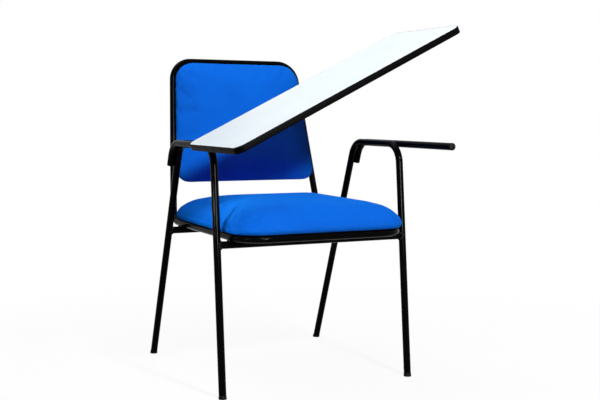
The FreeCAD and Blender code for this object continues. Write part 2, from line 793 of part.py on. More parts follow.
def tablet_board():
    """Core, laminate and the black edge band of the tablet."""
    skin = TABLET_HIGH - size("laminate_thickness")
    inside = size("band_thickness") + size("glue_line")
    pilot = size("screw_diameter") + 2 * size("screw_clearance")
    hole_top = TABLET_LOW + size("core_hole_depth")
    drills = hole_cutters(strap_screw_places(), pilot, TABLET_LOW, hole_top)
    core = slab(tablet_outline(inside), TABLET_LOW, skin)
    tablet_part("tablet_core", core.cut(drills))
    tablet_part("tablet_laminate", slab(tablet_outline(inside), skin, TABLET_HIGH))
    band = slab(tablet_outline(0), TABLET_LOW, TABLET_HIGH)
    low, high = TABLET_LOW - size("overrun"), TABLET_HIGH + size("overrun")
    opening = slab(tablet_outline(size("band_thickness")), low, high)
    tablet_part("tablet_edge_band", band.cut(opening))


def saddle_strap(label, forward):
    """Steel strap bent round the underside of the pivot bar, with an ear at each side."""
    inner, outer = UNDERSIDE, UNDERSIDE + size("strap_thickness")
    reach = outer + size("strap_ear")
    ear_low = UNDERSIDE - size("strap_thickness")
    corners = [(-reach, UNDERSIDE), (-inner, UNDERSIDE), (-inner, 0)]
    corners += [(inner, 0), (inner, UNDERSIDE), (reach, UNDERSIDE)]
    under = [(reach, ear_low), (outer, ear_low), (outer, 0)]
    under += [(-outer, 0), (-outer, ear_low), (-reach, ear_low)]
    level = -forward + size("strap_width") / 2

    def at(x, z):
        return FreeCAD.Vector(x, level, z)

    def run(points):
        return [
            Part.LineSegment(at(*start), at(*end)).toShape()
            for start, end in zip(points, points[1:])
        ]

    bore = Part.Arc(at(-inner, 0), at(0, -inner), at(inner, 0)).toShape()
    belly = Part.Arc(at(outer, 0), at(0, -outer), at(-outer, 0)).toShape()
    edges = run(corners[:3]) + [bore] + run(corners[3:] + under[:3]) + [belly]
    edges += run(under[3:] + corners[:1])
    profile = Part.Face(Part.Wire(edges))
    strap = profile.extrude(FreeCAD.Vector(0, -size("strap_width"), 0))
    screws = [spot for spot in strap_screw_places() if spot[1] == -forward]
    low = ear_low - size("overrun")
    holes = hole_cutters(screws, size("tab_hole_diameter"), low, UNDERSIDE)
    tablet_part(label, strap.cut(holes))


def strap_screws():
    """Screws up through the strap ears into the tablet's core."""
    bearing = UNDERSIDE - size("strap_thickness")
    length = size("strap_thickness") + size("screw_bite")
    screws = []
    for x, y in strap_screw_places():
        screw = screw_shape(length)
        screw.translate(FreeCAD.Vector(x, y, bearing))
        screws.append(screw)
    tablet_part("strap_screws", Part.makeCompound(screws))


# The chair


def build():
    """Make every sub-part."""
    for label, side in (("side_frame_right", -1), ("side_frame_left", 1)):
        side_frame(label, side)
    tablet_bar("tablet_pivot_bar", -1)
    tablet_bar("tablet_rest_bar", 1)
    rail = "Sizes.rail_height"
    front_foot = -size("front_foot_forward")
    rear_foot = size("rear_foot_back")
    cross_rail("front_cross_rail", front_foot, -FRONT_RAKE, number(front_leg_y(rail)))
    cross_rail("rear_cross_rail", rear_foot, REAR_RAKE, number(rear_leg_y(rail)))
    seat_back_loop()
    plug_sets()
    seat_upholstery()
    back_upholstery()
    fixings()
    tablet_board()
    saddle_strap("saddle_strap_front", size("strap_front_forward"))
    saddle_strap("saddle_strap_rear", size("strap_rear_forward"))
    strap_screws()


def check_and_write():
    """Recompute, stop at any object that failed, and write each sub-part to its file."""
    doc.recompute()
    for item in doc.Objects:
        if "Invalid" in item.State or "Error" in item.State:
            raise RuntimeError(f"{item.Label} did not compute: {item.State}")
    os.makedirs("parts", exist_ok=True)
    for item in sub_parts:
        shape = item.Shape
        if shape.isNull() or not shape.isValid():
            raise RuntimeError(f"{item.Label} has no valid shape")
        shape.exportStep(f"parts/{item.Label}.step")
        print(f"{item.Label}: {len(shape.Solids)} solid, {shape.Volume / 1000:.1f} cm3")


build()
check_and_write()
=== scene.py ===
"""Looks of a steel tube study chair with a folding writing tablet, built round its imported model."""

import json
import logging
import math
from abc import ABC, abstractmethod
from dataclasses import dataclass, field
from enum import Enum
from typing import Iterable, Optional, Sequence

import bmesh
import bpy
from bmesh.types import BMEdge, BMesh, BMVert
from bpy.types import NodeSocket
from mathutils import Euler, Matrix, Vector


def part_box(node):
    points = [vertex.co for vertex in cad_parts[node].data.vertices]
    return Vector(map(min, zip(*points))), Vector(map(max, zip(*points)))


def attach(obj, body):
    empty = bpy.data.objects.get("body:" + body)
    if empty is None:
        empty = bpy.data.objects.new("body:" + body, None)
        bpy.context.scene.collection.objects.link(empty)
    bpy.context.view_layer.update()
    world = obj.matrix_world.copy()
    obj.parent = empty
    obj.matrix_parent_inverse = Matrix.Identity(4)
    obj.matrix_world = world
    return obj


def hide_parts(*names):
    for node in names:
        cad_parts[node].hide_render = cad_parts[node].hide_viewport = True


LOG = logging.getLogger("study_chair")
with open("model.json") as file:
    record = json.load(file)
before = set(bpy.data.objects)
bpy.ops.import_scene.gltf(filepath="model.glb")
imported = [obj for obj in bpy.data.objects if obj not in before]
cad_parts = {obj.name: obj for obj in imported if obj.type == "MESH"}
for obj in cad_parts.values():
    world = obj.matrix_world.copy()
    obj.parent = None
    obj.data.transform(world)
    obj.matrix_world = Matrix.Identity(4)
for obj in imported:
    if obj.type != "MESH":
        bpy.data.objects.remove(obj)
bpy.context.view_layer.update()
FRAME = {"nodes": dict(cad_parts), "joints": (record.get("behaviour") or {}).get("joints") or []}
SAME_PLACE = 1e-6
FULL_TURN = 2 * math.pi


class Body(Enum):
    """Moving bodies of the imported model."""

    FRAME = "frame"
    TABLET = "tablet"


class Slot(Enum):
    """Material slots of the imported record."""

    PAINT = "black_paint"
    PLUG = "black_plastic"
    FABRIC = "blue_fabric"
    PLYWOOD = "plywood"
    CORE = "particle_board"
    LAMINATE = "white_laminate"
    BAND = "edge_band"
    SCREW = "screw_steel"


@dataclass(frozen=True)
class ChairSizes:
    """Sizes that several sub-assemblies share, in metres and radians, from the chair's datum."""

    tube_radius: float = 0.0095
    weld_gap: float = 0.0002
    frame_half_width: float = 0.2666
    arm_height: float = 0.620
    front_foot: float = 0.2385
    front_arm: float = 0.1767
    rear_arm: float = 0.0651
    rear_foot: float = 0.2998
    rail_height: float = 0.3758
    loop_half_width: float = 0.231
    loop_front: float = 0.280
    upright_back: float = 0.2213
    back_lean: float = math.radians(13.4)
    back_top_height: float = 0.8488
    back_top_half_width: float = 0.1938
    foot_height: float = 0.009
    bar_forward: float = 0.3995
    pad_clearance: float = 0.0003
    strap_clearance: float = 0.0001
    screw_bite: float = 0.0075

    @property
    def bar_offset(self) -> float:
        """Half width to the axes of the tablet bars."""
        return self.frame_half_width + 2 * self.tube_radius + self.weld_gap

    @property
    def loop_height(self) -> float:
        """Height of the seat loop's axis."""
        return self.rail_height + 2 * self.tube_radius + self.weld_gap

    @property
    def upright_length(self) -> float:
        """Length of the uprights up their slope."""
        return (self.back_top_height - self.loop_height) / math.cos(self.back_lean)

    @property
    def upright_taper(self) -> float:
        """Angle by which each upright leans in."""
        return math.atan2(self.loop_half_width - self.back_top_half_width, self.upright_length)

    @property
    def front_rake(self) -> float:
        """Turn of a front leg from upright, about X."""
        return -math.atan2(self.front_foot - self.front_arm, self.arm_height)

    @property
    def rear_rake(self) -> float:
        """Turn of a rear leg from upright, about X."""
        return math.atan2(self.rear_foot - self.rear_arm, self.arm_height)

    def front_leg(self, height: float) -> float:
        """Place of the front leg's axis along Y at a height."""
        return (self.front_foot - self.front_arm) * height / self.arm_height - self.front_foot

    def rear_leg(self, height: float) -> float:
        """Place of the rear leg's axis along Y at a height."""
        return self.rear_foot - (self.rear_foot - self.rear_arm) * height / self.arm_height

    def upright_x(self, level: float) -> float:
        """Half width of an upright's axis at a level up its slope."""
        return self.loop_half_width - level * math.tan(self.upright_taper)


SIZES = ChairSizes()


def chair_datum() -> Vector:
    """Datum of the chair in the row frame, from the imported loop.

    Returns:
        The point on the floor from which the shared sizes run.
    """
    low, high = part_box("seat_back_loop")
    return Vector(((low.x + high.x) / 2, low.y + SIZES.loop_front + SIZES.tube_radius, 0.0))


DATUM = chair_datum()


@dataclass(frozen=True)
class FlatFrame:
    """Place and turn of a flat drawing frame in the row frame."""

    origin: Vector
    turn: Matrix

    @property
    def matrix(self) -> Matrix:
        """Transform from the flat frame to the row frame."""
        return Matrix.Translation(self.origin) @ self.turn.to_4x4()


def seat_frame() -> FlatFrame:
    """Flat frame of the seat, at the top of the loop."""
    height = SIZES.loop_height + SIZES.tube_radius
    return FlatFrame(DATUM + Vector((0.0, 0.0, height)), Matrix.Identity(3))


def back_frame() -> FlatFrame:
    """Flat frame of the back, at the front of the uprights.

    Returns:
        The frame: its Y runs up the slope and its Z forward.
    """
    lean = Euler((-SIZES.back_lean, 0.0, 0.0)).to_matrix()
    corner = Vector((0.0, SIZES.upright_back, SIZES.loop_height))
    place = DATUM + corner + lean @ Vector((0.0, -SIZES.tube_radius, 0.0))
    return FlatFrame(place, lean @ Euler((math.radians(90.0), 0.0, 0.0)).to_matrix())


def tablet_frame() -> FlatFrame:
    """Flat frame of the raised tablet, on the axis of its bar.

    Returns:
        The frame: its X runs from the bar across the chair.
    """
    hinge = next(joint for joint in FRAME["joints"] if joint["name"] == "tablet_hinge")
    raised = -math.radians(hinge["range_deg"][0])
    place = DATUM + Vector((-SIZES.bar_offset, 0.0, SIZES.arm_height))
    return FlatFrame(place, Euler((0.0, -raised, 0.0)).to_matrix())


# Finishes


@dataclass(frozen=True)
class Noise:
    """Noise texture: features per metre and octaves."""

    scale: float
    detail: float = 3.0


class Graph:
    """Short way to write the node tree of a material or a world."""

    def __init__(self, owner: object) -> None:
        """Empty the tree of a material or a world.

        Args:
            owner: The material or world.
        """
        owner.use_nodes = True
        self.tree = owner.node_tree
        self.tree.nodes.clear()

    def node(self, kind: str, inputs: Optional[dict] = None, **settings: object) -> bpy.types.Node:
        """Add a node.

        Args:
            kind: The node's type name.
            inputs: Values or output sockets by input name or index.
            settings: Properties of the node.

        Returns:
            The new node.
        """
        made = self.tree.nodes.new(kind)
        for name, value in settings.items():
            setattr(made, name, value)
        for name, value in (inputs or {}).items():
            if isinstance(value, NodeSocket):
                self.tree.links.new(value, made.inputs[name])
            else:
                made.inputs[name].default_value = value
        return made

    def math(self, operation: str, *values: object) -> NodeSocket:
        """Output of a Math node on numbers or sockets."""
        return self.node("ShaderNodeMath", dict(enumerate(values)), operation=operation).outputs[0]

    def weighted(self, *parts: tuple) -> NodeSocket:
        """Sum of sockets by their shares.

        Args:
            parts: Pairs of socket and share.

        Returns:
            The sum's socket.
        """
        total, *others = [self.math("MULTIPLY", socket, share) for socket, share in parts]
        for other in others:
            total = self.math("ADD", total, other)
        return total

    def coordinates(self, name: str = "Object") -> NodeSocket:
        """Output of Texture Coordinate in the piece's own space."""
        return self.node("ShaderNodeTexCoord").outputs[name]

    def stretched(self, scale: tuple) -> NodeSocket:
        """Object coordinates scaled along each axis."""
        inputs = {"Vector": self.coordinates(), "Scale": scale}
        return self.node("ShaderNodeMapping", inputs).outputs["Vector"]

    def noise(self, noise: Noise, vector: Optional[NodeSocket] = None) -> NodeSocket:
        """Factor of a noise texture.

        Args:
            noise: Its scale and detail.
            vector: Socket of the place; object coordinates by default.

        Returns:
            The factor's socket.
        """
        place = vector or self.coordinates()
        inputs = {"Vector": place, "Scale": noise.scale, "Detail": noise.detail}
        return self.node("ShaderNodeTexNoise", inputs).outputs["Fac"]

    def ramp(self, factor: NodeSocket, stops: Sequence[tuple]) -> NodeSocket:
        """Colour ramp.

        Args:
            factor: Socket that drives it.
            stops: Pairs of position and linear colour.

        Returns:
            The ramp's colour socket.
        """
        made = self.node("ShaderNodeValToRGB", {"Fac": factor})
        elements = made.color_ramp.elements
        while len(elements) < len(stops):
            elements.new(0.5)
        for element, (position, colour) in zip(elements, stops):
            element.position = position
            element.color = (*colour, 1.0)
        return made.outputs["Color"]

    def span(
        self, value: NodeSocket, low: float, high: float, start: float = 0.0, end: float = 1.0
    ) -> NodeSocket:
        """Map the range from start to end onto the one from low to high.

        Args:
            value: Socket to map.
            low: Result at the start.
            high: Result at the end.
            start: Value that gives the low end.
            end: Value that gives the high end.

        Returns:
            The result's socket.
        """
        inputs = {"Value": value, "From Min": start, "From Max": end, "To Min": low, "To Max": high}
        return self.node("ShaderNodeMapRange", inputs).outputs["Result"]

    def bump(self, height: NodeSocket, relief: tuple) -> NodeSocket:
        """Normal from a height socket and a pair of depth in metres and strength."""
        inputs = {"Height": height, "Distance": relief[0], "Strength": relief[1]}
        return self.node("ShaderNodeBump", inputs).outputs["Normal"]

    def seen_by(self, *rays: str) -> NodeSocket:
        """One where the ray is of a named kind, and nought elsewhere.

        Args:
            rays: Outputs of Light Path.

        Returns:
            The factor's socket.
        """
        path = self.node("ShaderNodeLightPath")
        seen = path.outputs[rays[0]]
        for ray in rays[1:]:
            seen = self.math("MAXIMUM", seen, path.outputs[ray])
        return seen

    def close(self, kind: str, shader: NodeSocket) -> None:
        """Lead a shader to the tree's output node."""
        self.node(kind, {"Surface": shader})

    def close_mixed(self, kind: str, factor: NodeSocket, *shaders: bpy.types.Node) -> None:
        """Lead two shaders, mixed by a factor, to the tree's output node.

        Args:
            kind: Type name of the output node.
            factor: Socket that is nought for the first shader and one for the second.
            shaders: Both shader nodes.
        """
        inputs = {index: shader.outputs[0] for index, shader in enumerate(shaders, 1)}
        mix = self.node("ShaderNodeMixShader", {"Fac": factor, **inputs})
        self.close(kind, mix.outputs[0])


class Finish(ABC):
    """A finish that makes its material at its first use."""

    made: dict[str, bpy.types.Material] = {}

    @abstractmethod
    def inputs(self, graph: Graph) -> dict:
        """Inputs of the Principled shader by name, as values or as sockets of a graph."""

    def material(self) -> bpy.types.Material:
        """The finish's material.

        Returns:
            The material, named after the finish.
        """
        name = type(self).__name__
        if name not in Finish.made:
            Finish.made[name] = bpy.data.materials.new(name)
            graph = Graph(Finish.made[name])
            shader = graph.node("ShaderNodeBsdfPrincipled", self.inputs(graph))
            graph.close("ShaderNodeOutputMaterial", shader.outputs["BSDF"])
        return Finish.made[name]


@dataclass(frozen=True)
class CloudedFinish(Finish):
    """Finish whose colour, gloss and relief each follow a noise texture."""

    stops: tuple
    cloud: Noise
    gloss: Noise
    roughness: tuple
    grain: Noise
    relief: tuple
    specular: float = 0.5
    metallic: float = 0.0
    stretch: tuple = (1.0, 1.0, 1.0)

    def inputs(self, graph: Graph) -> dict:
        """Inputs of the Principled shader by name.

        Args:
            graph: Graph that gets the nodes.

        Returns:
            Values or sockets by input name.
        """
        cloud = graph.noise(self.cloud, graph.stretched(self.stretch))
        return {
            "Base Color": graph.ramp(cloud, self.stops),
            "Metallic": self.metallic,
            "Roughness": graph.span(graph.noise(self.gloss), *self.roughness),
            "Specular IOR Level": self.specular,
            "Normal": graph.bump(graph.noise(self.grain), self.relief),
        }


BLACK_COAT = (0.0012, 0.0012, 0.0014)


@dataclass(frozen=True)
class GlossBlackPaint(CloudedFinish):
    """Black powder coat with a slight orange peel and a few fine scuffs."""

    stops: tuple = ((0.0, BLACK_COAT), (0.7, BLACK_COAT), (0.76, (0.028, 0.028, 0.03)))
    cloud: Noise = Noise(230.0, 5.0)
    gloss: Noise = Noise(38.0, 4.0)
    roughness: tuple = (0.07, 0.17)
    grain: Noise = Noise(620.0, 2.0)
    relief: tuple = (0.00012, 0.35)
    specular: float = 0.02
    stretch: tuple = (1.0, 0.35, 0.35)


@dataclass(frozen=True)
class WeldedPaint(CloudedFinish):
    """The same coat over the ripples of a weld bead."""

    stops: tuple = ((0.2, (0.0028, 0.0028, 0.003)), (0.9, (0.02, 0.02, 0.022)))
    cloud: Noise = Noise(900.0)
    gloss: Noise = Noise(300.0)
    roughness: tuple = (0.25, 0.5)
    grain: Noise = Noise(900.0)
    relief: tuple = (0.0003, 0.5)
    specular: float = 0.06


@dataclass(frozen=True)
class MouldedPlastic(CloudedFinish):
    """Satin black polypropylene of the plugs."""

    stops: tuple = ((0.35, (0.004, 0.004, 0.0045)), (0.85, (0.012, 0.012, 0.0125)))
    cloud: Noise = Noise(90.0, 4.0)
    gloss: Noise = Noise(90.0, 4.0)
    roughness: tuple = (0.38, 0.6)
    grain: Noise = Noise(1500.0, 2.0)
    relief: tuple = (0.0001, 0.4)
    specular: float = 0.04


@dataclass(frozen=True)
class WhiteLaminate(CloudedFinish):
    """Cool white laminate with a fine suede texture and faint rubbed patches."""

    stops: tuple = ((0.3, (0.82, 0.905, 0.955)), (0.62, (0.85, 0.94, 0.985)))
    cloud: Noise = Noise(7.0, 4.0)
    gloss: Noise = Noise(7.0, 4.0)
    roughness: tuple = (0.40, 0.30)
    grain: Noise = Noise(1300.0, 2.0)
    relief: tuple = (0.00006, 0.3)
    specular: float = 0.14


@dataclass(frozen=True)
class BlackEdgeBand(CloudedFinish):
    """Black edge band, with light nicks where hands and tables touch it."""

    stops: tuple = ((0.0, BLACK_COAT), (0.72, BLACK_COAT), (0.8, (0.14, 0.14, 0.135)))
    cloud: Noise = Noise(170.0, 6.0)
    gloss: Noise = Noise(60.0)
    roughness: tuple = (0.35, 0.55)
    grain: Noise = Noise(1100.0, 2.0)
    relief: tuple = (0.0001, 0.3)
    specular: float = 0.015


@dataclass(frozen=True)
class BackingSheet(CloudedFinish):
    """Plain grey-white balancing sheet under the tablet."""

    stops: tuple = ((0.3, (0.53, 0.55, 0.55)), (0.7, (0.60, 0.62, 0.62)))
    cloud: Noise = Noise(16.0, 4.0)
    gloss: Noise = Noise(16.0, 4.0)
    roughness: tuple = (0.55, 0.42)
    grain: Noise = Noise(900.0, 2.0)
    relief: tuple = (0.00008, 0.3)
    specular: float = 0.4


@dataclass(frozen=True)
class ZincSteel(CloudedFinish):
    """Bright zinc plating with fine brushed variation."""

    stops: tuple = ((0.3, (0.42, 0.42, 0.44)), (0.7, (0.56, 0.56, 0.58)))
    cloud: Noise = Noise(700.0, 4.0)
    gloss: Noise = Noise(700.0, 4.0)
    roughness: tuple = (0.28, 0.46)
    grain: Noise = Noise(700.0, 4.0)
    relief: tuple = (0.00005, 0.3)
    metallic: float = 1.0


@dataclass(frozen=True)
class BlueCloth(Finish):
    """Close woven bright blue upholstery cloth."""

    stops: tuple = ((0.28, (0.0015, 0.097, 0.595)), (0.72, (0.002, 0.167, 0.82)))
    thread: float = 0.0011
    slub: Noise = Noise(420.0)
    shade: Noise = Noise(9.0)
    colour_shares: tuple = (0.32, 0.34, 0.34)
    height_shares: tuple = (0.7, 0.3)
    relief: tuple = (0.00022, 0.55)
    sheen: float = 0.16
    sheen_tint: tuple = (0.02, 0.55, 0.9, 1.0)

    def weave(self, graph: Graph) -> NodeSocket:
        """Over and under of the threads, laid from the three sides of the piece.

        Args:
            graph: Graph that gets the nodes.

        Returns:
            Socket of the height, from nought to one.
        """
        turns = FULL_TURN / self.thread
        place = graph.node("ShaderNodeSeparateXYZ", {"Vector": graph.coordinates()})
        facing = graph.node("ShaderNodeSeparateXYZ", {"Vector": graph.coordinates("Normal")})
        waves = [
            graph.math("SINE", graph.math("MULTIPLY", place.outputs[axis], turns))
            for axis in range(3)
        ]
        total: object = 0.0
        for axis in range(3):
            weight = graph.math("POWER", graph.math("ABSOLUTE", facing.outputs[axis]), 4.0)
            cross = graph.math("MULTIPLY", waves[(axis + 1) % 3], waves[(axis + 2) % 3])
            total = graph.math("ADD", total, graph.math("MULTIPLY", weight, cross))
        return graph.math("ADD", graph.math("MULTIPLY", total, 0.5), 0.5)

    def inputs(self, graph: Graph) -> dict:
        """Inputs of the Principled shader by name.

        Args:
            graph: Graph that gets the nodes.

        Returns:
            Values or sockets by input name.
        """
        weave, slub, shade = self.weave(graph), graph.noise(self.slub), graph.noise(self.shade)
        colour = graph.weighted(*zip((weave, slub, shade), self.colour_shares))
        height = graph.weighted(*zip((weave, slub), self.height_shares))
        return {
            "Base Color": graph.ramp(colour, self.stops),
            "Roughness": 0.88,
            "Specular IOR Level": 0.03,
            "Sheen Weight": self.sheen,
            "Sheen Roughness": 0.5,
            "Sheen Tint": self.sheen_tint,
            "Normal": graph.bump(height, self.relief),
        }


@dataclass(frozen=True)
class Plywood(Finish):
    """Rotary cut plywood with long soft grain."""

    stops: tuple = (
        (0.3, (0.36, 0.22, 0.115)), (0.5, (0.60, 0.42, 0.25)), (0.75, (0.68, 0.5, 0.32)),
    )
    stretch: tuple = (1.0, 0.09, 0.09)
    grain: Noise = Noise(150.0, 6.0)
    figure: Noise = Noise(24.0)
    shares: tuple = (0.55, 0.45)
    relief: tuple = (0.0002, 0.4)

    def inputs(self, graph: Graph) -> dict:
        """Inputs of the Principled shader by name.

        Args:
            graph: Graph that gets the nodes.

        Returns:
            Values or sockets by input name.
        """
        along = graph.stretched(self.stretch)
        grain, figure = graph.noise(self.grain, along), graph.noise(self.figure, along)
        colour = graph.weighted(*zip((grain, figure), self.shares))
        return {
            "Base Color": graph.ramp(colour, self.stops),
            "Roughness": 0.72,
            "Specular IOR Level": 0.3,
            "Normal": graph.bump(grain, self.relief),
        }


@dataclass(frozen=True)
class PressedBoard(Finish):
    """Edge of pressed board: pale chips in resin."""

    stops: tuple = ((0.05, (0.27, 0.19, 0.11)), (0.5, (0.55, 0.44, 0.30)))
    chips: float = 480.0
    relief: tuple = (0.0003, 0.5)

    def inputs(self, graph: Graph) -> dict:
        """Inputs of the Principled shader by name.

        Args:
            graph: Graph that gets the nodes.

        Returns:
            Values or sockets by input name.
        """
        cells = {"Vector": graph.coordinates(), "Scale": self.chips}
        chips = graph.node("ShaderNodeTexVoronoi", cells).outputs["Distance"]
        return {
            "Base Color": graph.ramp(chips, self.stops),
            "Roughness": 0.85,
            "Specular IOR Level": 0.2,
            "Normal": graph.bump(chips, self.relief),
        }


# Making and keeping pieces


def add_object(name: str, data: bpy.types.ID) -> bpy.types.Object:
    """Object with the given data, linked to the scene.

    Args:
        name: The object's name.
        data: Its mesh, lamp or camera.

    Returns:
        The new object.
    """
    made = bpy.data.objects.new(name, data)
    bpy.context.scene.collection.objects.link(made)
    return made


def only(items: Iterable[object], kind: type) -> list:
    """The items of one kind, from what a mesh operator returns."""
    return [item for item in items if isinstance(item, kind)]


class Bench:
    """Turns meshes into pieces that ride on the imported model."""

    SHARP = math.radians(35.0)

    @staticmethod
    def piece(
        name: str, work: BMesh, finish: Finish, slot: Slot, body: Body = Body.FRAME,
        replaces: Sequence[str] = (),
    ) -> bpy.types.Object:
        """Make an object from a mesh under construction and keep it.

        Args:
            name: The piece's name.
            work: Its mesh in the row frame; it is freed.
            finish: Its finish.
            slot: The record's material slot; not used.
            body: The body that it rides on.
            replaces: Nodes that it stands for.

        Returns:
            The new object.
        """
        for face in work.faces:
            face.smooth = True
        for edge in work.edges:
            edge.smooth = edge.calc_face_angle(0.0) < Bench.SHARP
        mesh = bpy.data.meshes.new(name)
        work.to_mesh(mesh)
        work.free()
        made = add_object(name, mesh)
        mesh.materials.append(finish.material())
        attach(made, body.value)
        if replaces:
            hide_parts(*replaces)
        LOG.info("%s: %d faces on %s", name, len(mesh.polygons), body.value)
        return made

    @staticmethod
    def copy_of(node: str) -> BMesh:
        """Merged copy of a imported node's mesh.

        Args:
            node: The node's name.

        Returns:
            The mesh under construction.
        """
        work = bmesh.new()
        work.from_mesh(FRAME["nodes"][node].data)
        bmesh.ops.remove_doubles(work, verts=work.verts, dist=SAME_PLACE)
        return work

    @staticmethod
    def place(work: BMesh, frame: FlatFrame) -> BMesh:
        """Carry a mesh from a flat frame to the row frame."""
        bmesh.ops.transform(work, matrix=frame.matrix, verts=work.verts)
        return work


class Shapes:
    """Shapes that several pieces share."""

    RIPPLES = ((0.13, 1.9), (0.06, 0.43))
    BEAD_START, BEAD_RISE = 0.45, 0.2

    @staticmethod
    def absorb(target: BMesh, other: BMesh) -> None:
        """Move one mesh into another.

        Args:
            target: Mesh that gets the faces.
            other: Mesh that is added and freed.
        """
        carrier = bpy.data.meshes.new("carrier")
        other.to_mesh(carrier)
        other.free()
        target.from_mesh(carrier)
        bpy.data.meshes.remove(carrier)

    @staticmethod
    def lift(work: BMesh, height: float) -> None:
        """Move a whole mesh up along Z."""
        bmesh.ops.translate(work, vec=(0.0, 0.0, height), verts=work.verts)

    @staticmethod
    def bevel(
        work: BMesh, geom: Iterable[object], width: float, segments: int, affect: str = "EDGES",
        clamp: bool = False,
    ) -> None:
        """Round edges or corners.

        Args:
            work: Mesh to change.
            geom: Edges or vertices to round.
            width: Offset of the rounding.
            segments: Segments across it.
            affect: EDGES or VERTICES.
            clamp: True to keep roundings from overlapping.
        """
        bmesh.ops.bevel(
            work, geom=list(geom), affect=affect, offset=width, offset_type="OFFSET",
            segments=segments, profile=0.5, material=-1, clamp_overlap=clamp,
        )

    @staticmethod
    def ease(work: BMesh, width: float, angle: float = 50.0) -> None:
        """Round the edges of a solid that are sharper than an angle in degrees."""
        sharp = [edge for edge in work.edges if edge.calc_face_angle(0.0) > math.radians(angle)]
        Shapes.bevel(work, sharp, width, 2, clamp=True)

    @staticmethod
    def outline(
        low: float, high: float, half_low: float, half_high: float, radii: tuple, segments: int
    ) -> BMesh:
        """Flat face with rounded corners in the XY plane.

        Args:
            low: Level of the lower side, along Y.
            high: Level of the upper side.
            half_low: Half width at the lower side.
            half_high: Half width at the upper side.
            radii: Corner radii of the lower and of the upper side.
            segments: Segments in each corner.

        Returns:
            A mesh with one face that looks up.
        """
        work = bmesh.new()
        bmesh.ops.create_grid(work, x_segments=1, y_segments=1, size=1.0)
        for corner in work.verts:
            half, level = (half_high, high) if corner.co.y > 0 else (half_low, low)
            corner.co = Vector((math.copysign(half, corner.co.x), level, 0.0))
        for level, radius in zip((low, high), radii):
            corners = [vert for vert in work.verts if abs(vert.co.y - level) < SAME_PLACE]
            Shapes.bevel(work, corners, radius, segments, "VERTICES")
        return work

    @staticmethod
    def raise_face(work: BMesh, height: float) -> None:
        """Extrude the only face of a flat mesh upwards.

        Args:
            work: Mesh with one face.
            height: Height of the new walls.
        """
        grown = bmesh.ops.extrude_face_region(work, geom=list(work.faces))
        bmesh.ops.translate(work, vec=(0.0, 0.0, height), verts=only(grown["geom"], BMVert))
        bmesh.ops.recalc_face_normals(work, faces=work.faces)

    @staticmethod
    def turned(profile: Sequence[tuple], steps: int = 48) -> BMesh:
        """Solid turned about Z.

        Args:
            profile: Pairs of radius and height, from the bottom of the axis to its top.
            steps: Steps round the axis.

        Returns:
            The closed solid.
        """
        work = bmesh.new()
        points = [work.verts.new((radius, 0.0, height)) for radius, height in profile]
        edges = [work.edges.new(pair) for pair in zip(points, points[1:])]
        bmesh.ops.spin(
            work, geom=points + edges, cent=(0.0, 0.0, 0.0), axis=(0.0, 0.0, 1.0),
            angle=FULL_TURN, steps=steps, use_merge=True,
        )
        bmesh.ops.remove_doubles(work, verts=work.verts, dist=SAME_PLACE)
        bmesh.ops.recalc_face_normals(work, faces=work.faces)
        return work

    @staticmethod
    def bead(path: Sequence[Vector], radius: float, closed: bool = False) -> BMesh:
        """Weld bead along a path, rippled as a hand laid bead is.

        Args:
            path: Points of its middle, about half a millimetre apart.
            radius: Its mean radius.
            closed: True for a ring.

        Returns:
            The bead's mesh.
        """
        curve = bpy.data.curves.new("bead", "CURVE")
        curve.dimensions = "3D"
        curve.bevel_depth = radius
        curve.bevel_resolution = 2
        curve.use_fill_caps = not closed
        spline = curve.splines.new("POLY")
        last = len(path) - 1
        spline.points.add(last)
        for index, (point, place) in enumerate(zip(spline.points, path)):
            point.co = (*place, 1.0)
            ripples = (share * math.sin(index * rate) for share, rate in Shapes.RIPPLES)
            rise = Shapes.BEAD_START + Shapes.BEAD_RISE * min(index, last - index)
            point.radius = sum(ripples, 1.0) * (1.0 if closed else min(1.0, rise))
        spline.use_cyclic_u = closed
        holder = bpy.data.objects.new("bead", curve)
        mesh = bpy.data.meshes.new_from_object(holder)
        work = bmesh.new()
        work.from_mesh(mesh)
        bpy.data.objects.remove(holder)
        bpy.data.curves.remove(curve)
        bpy.data.meshes.remove(mesh)
        return work


# Welded frame


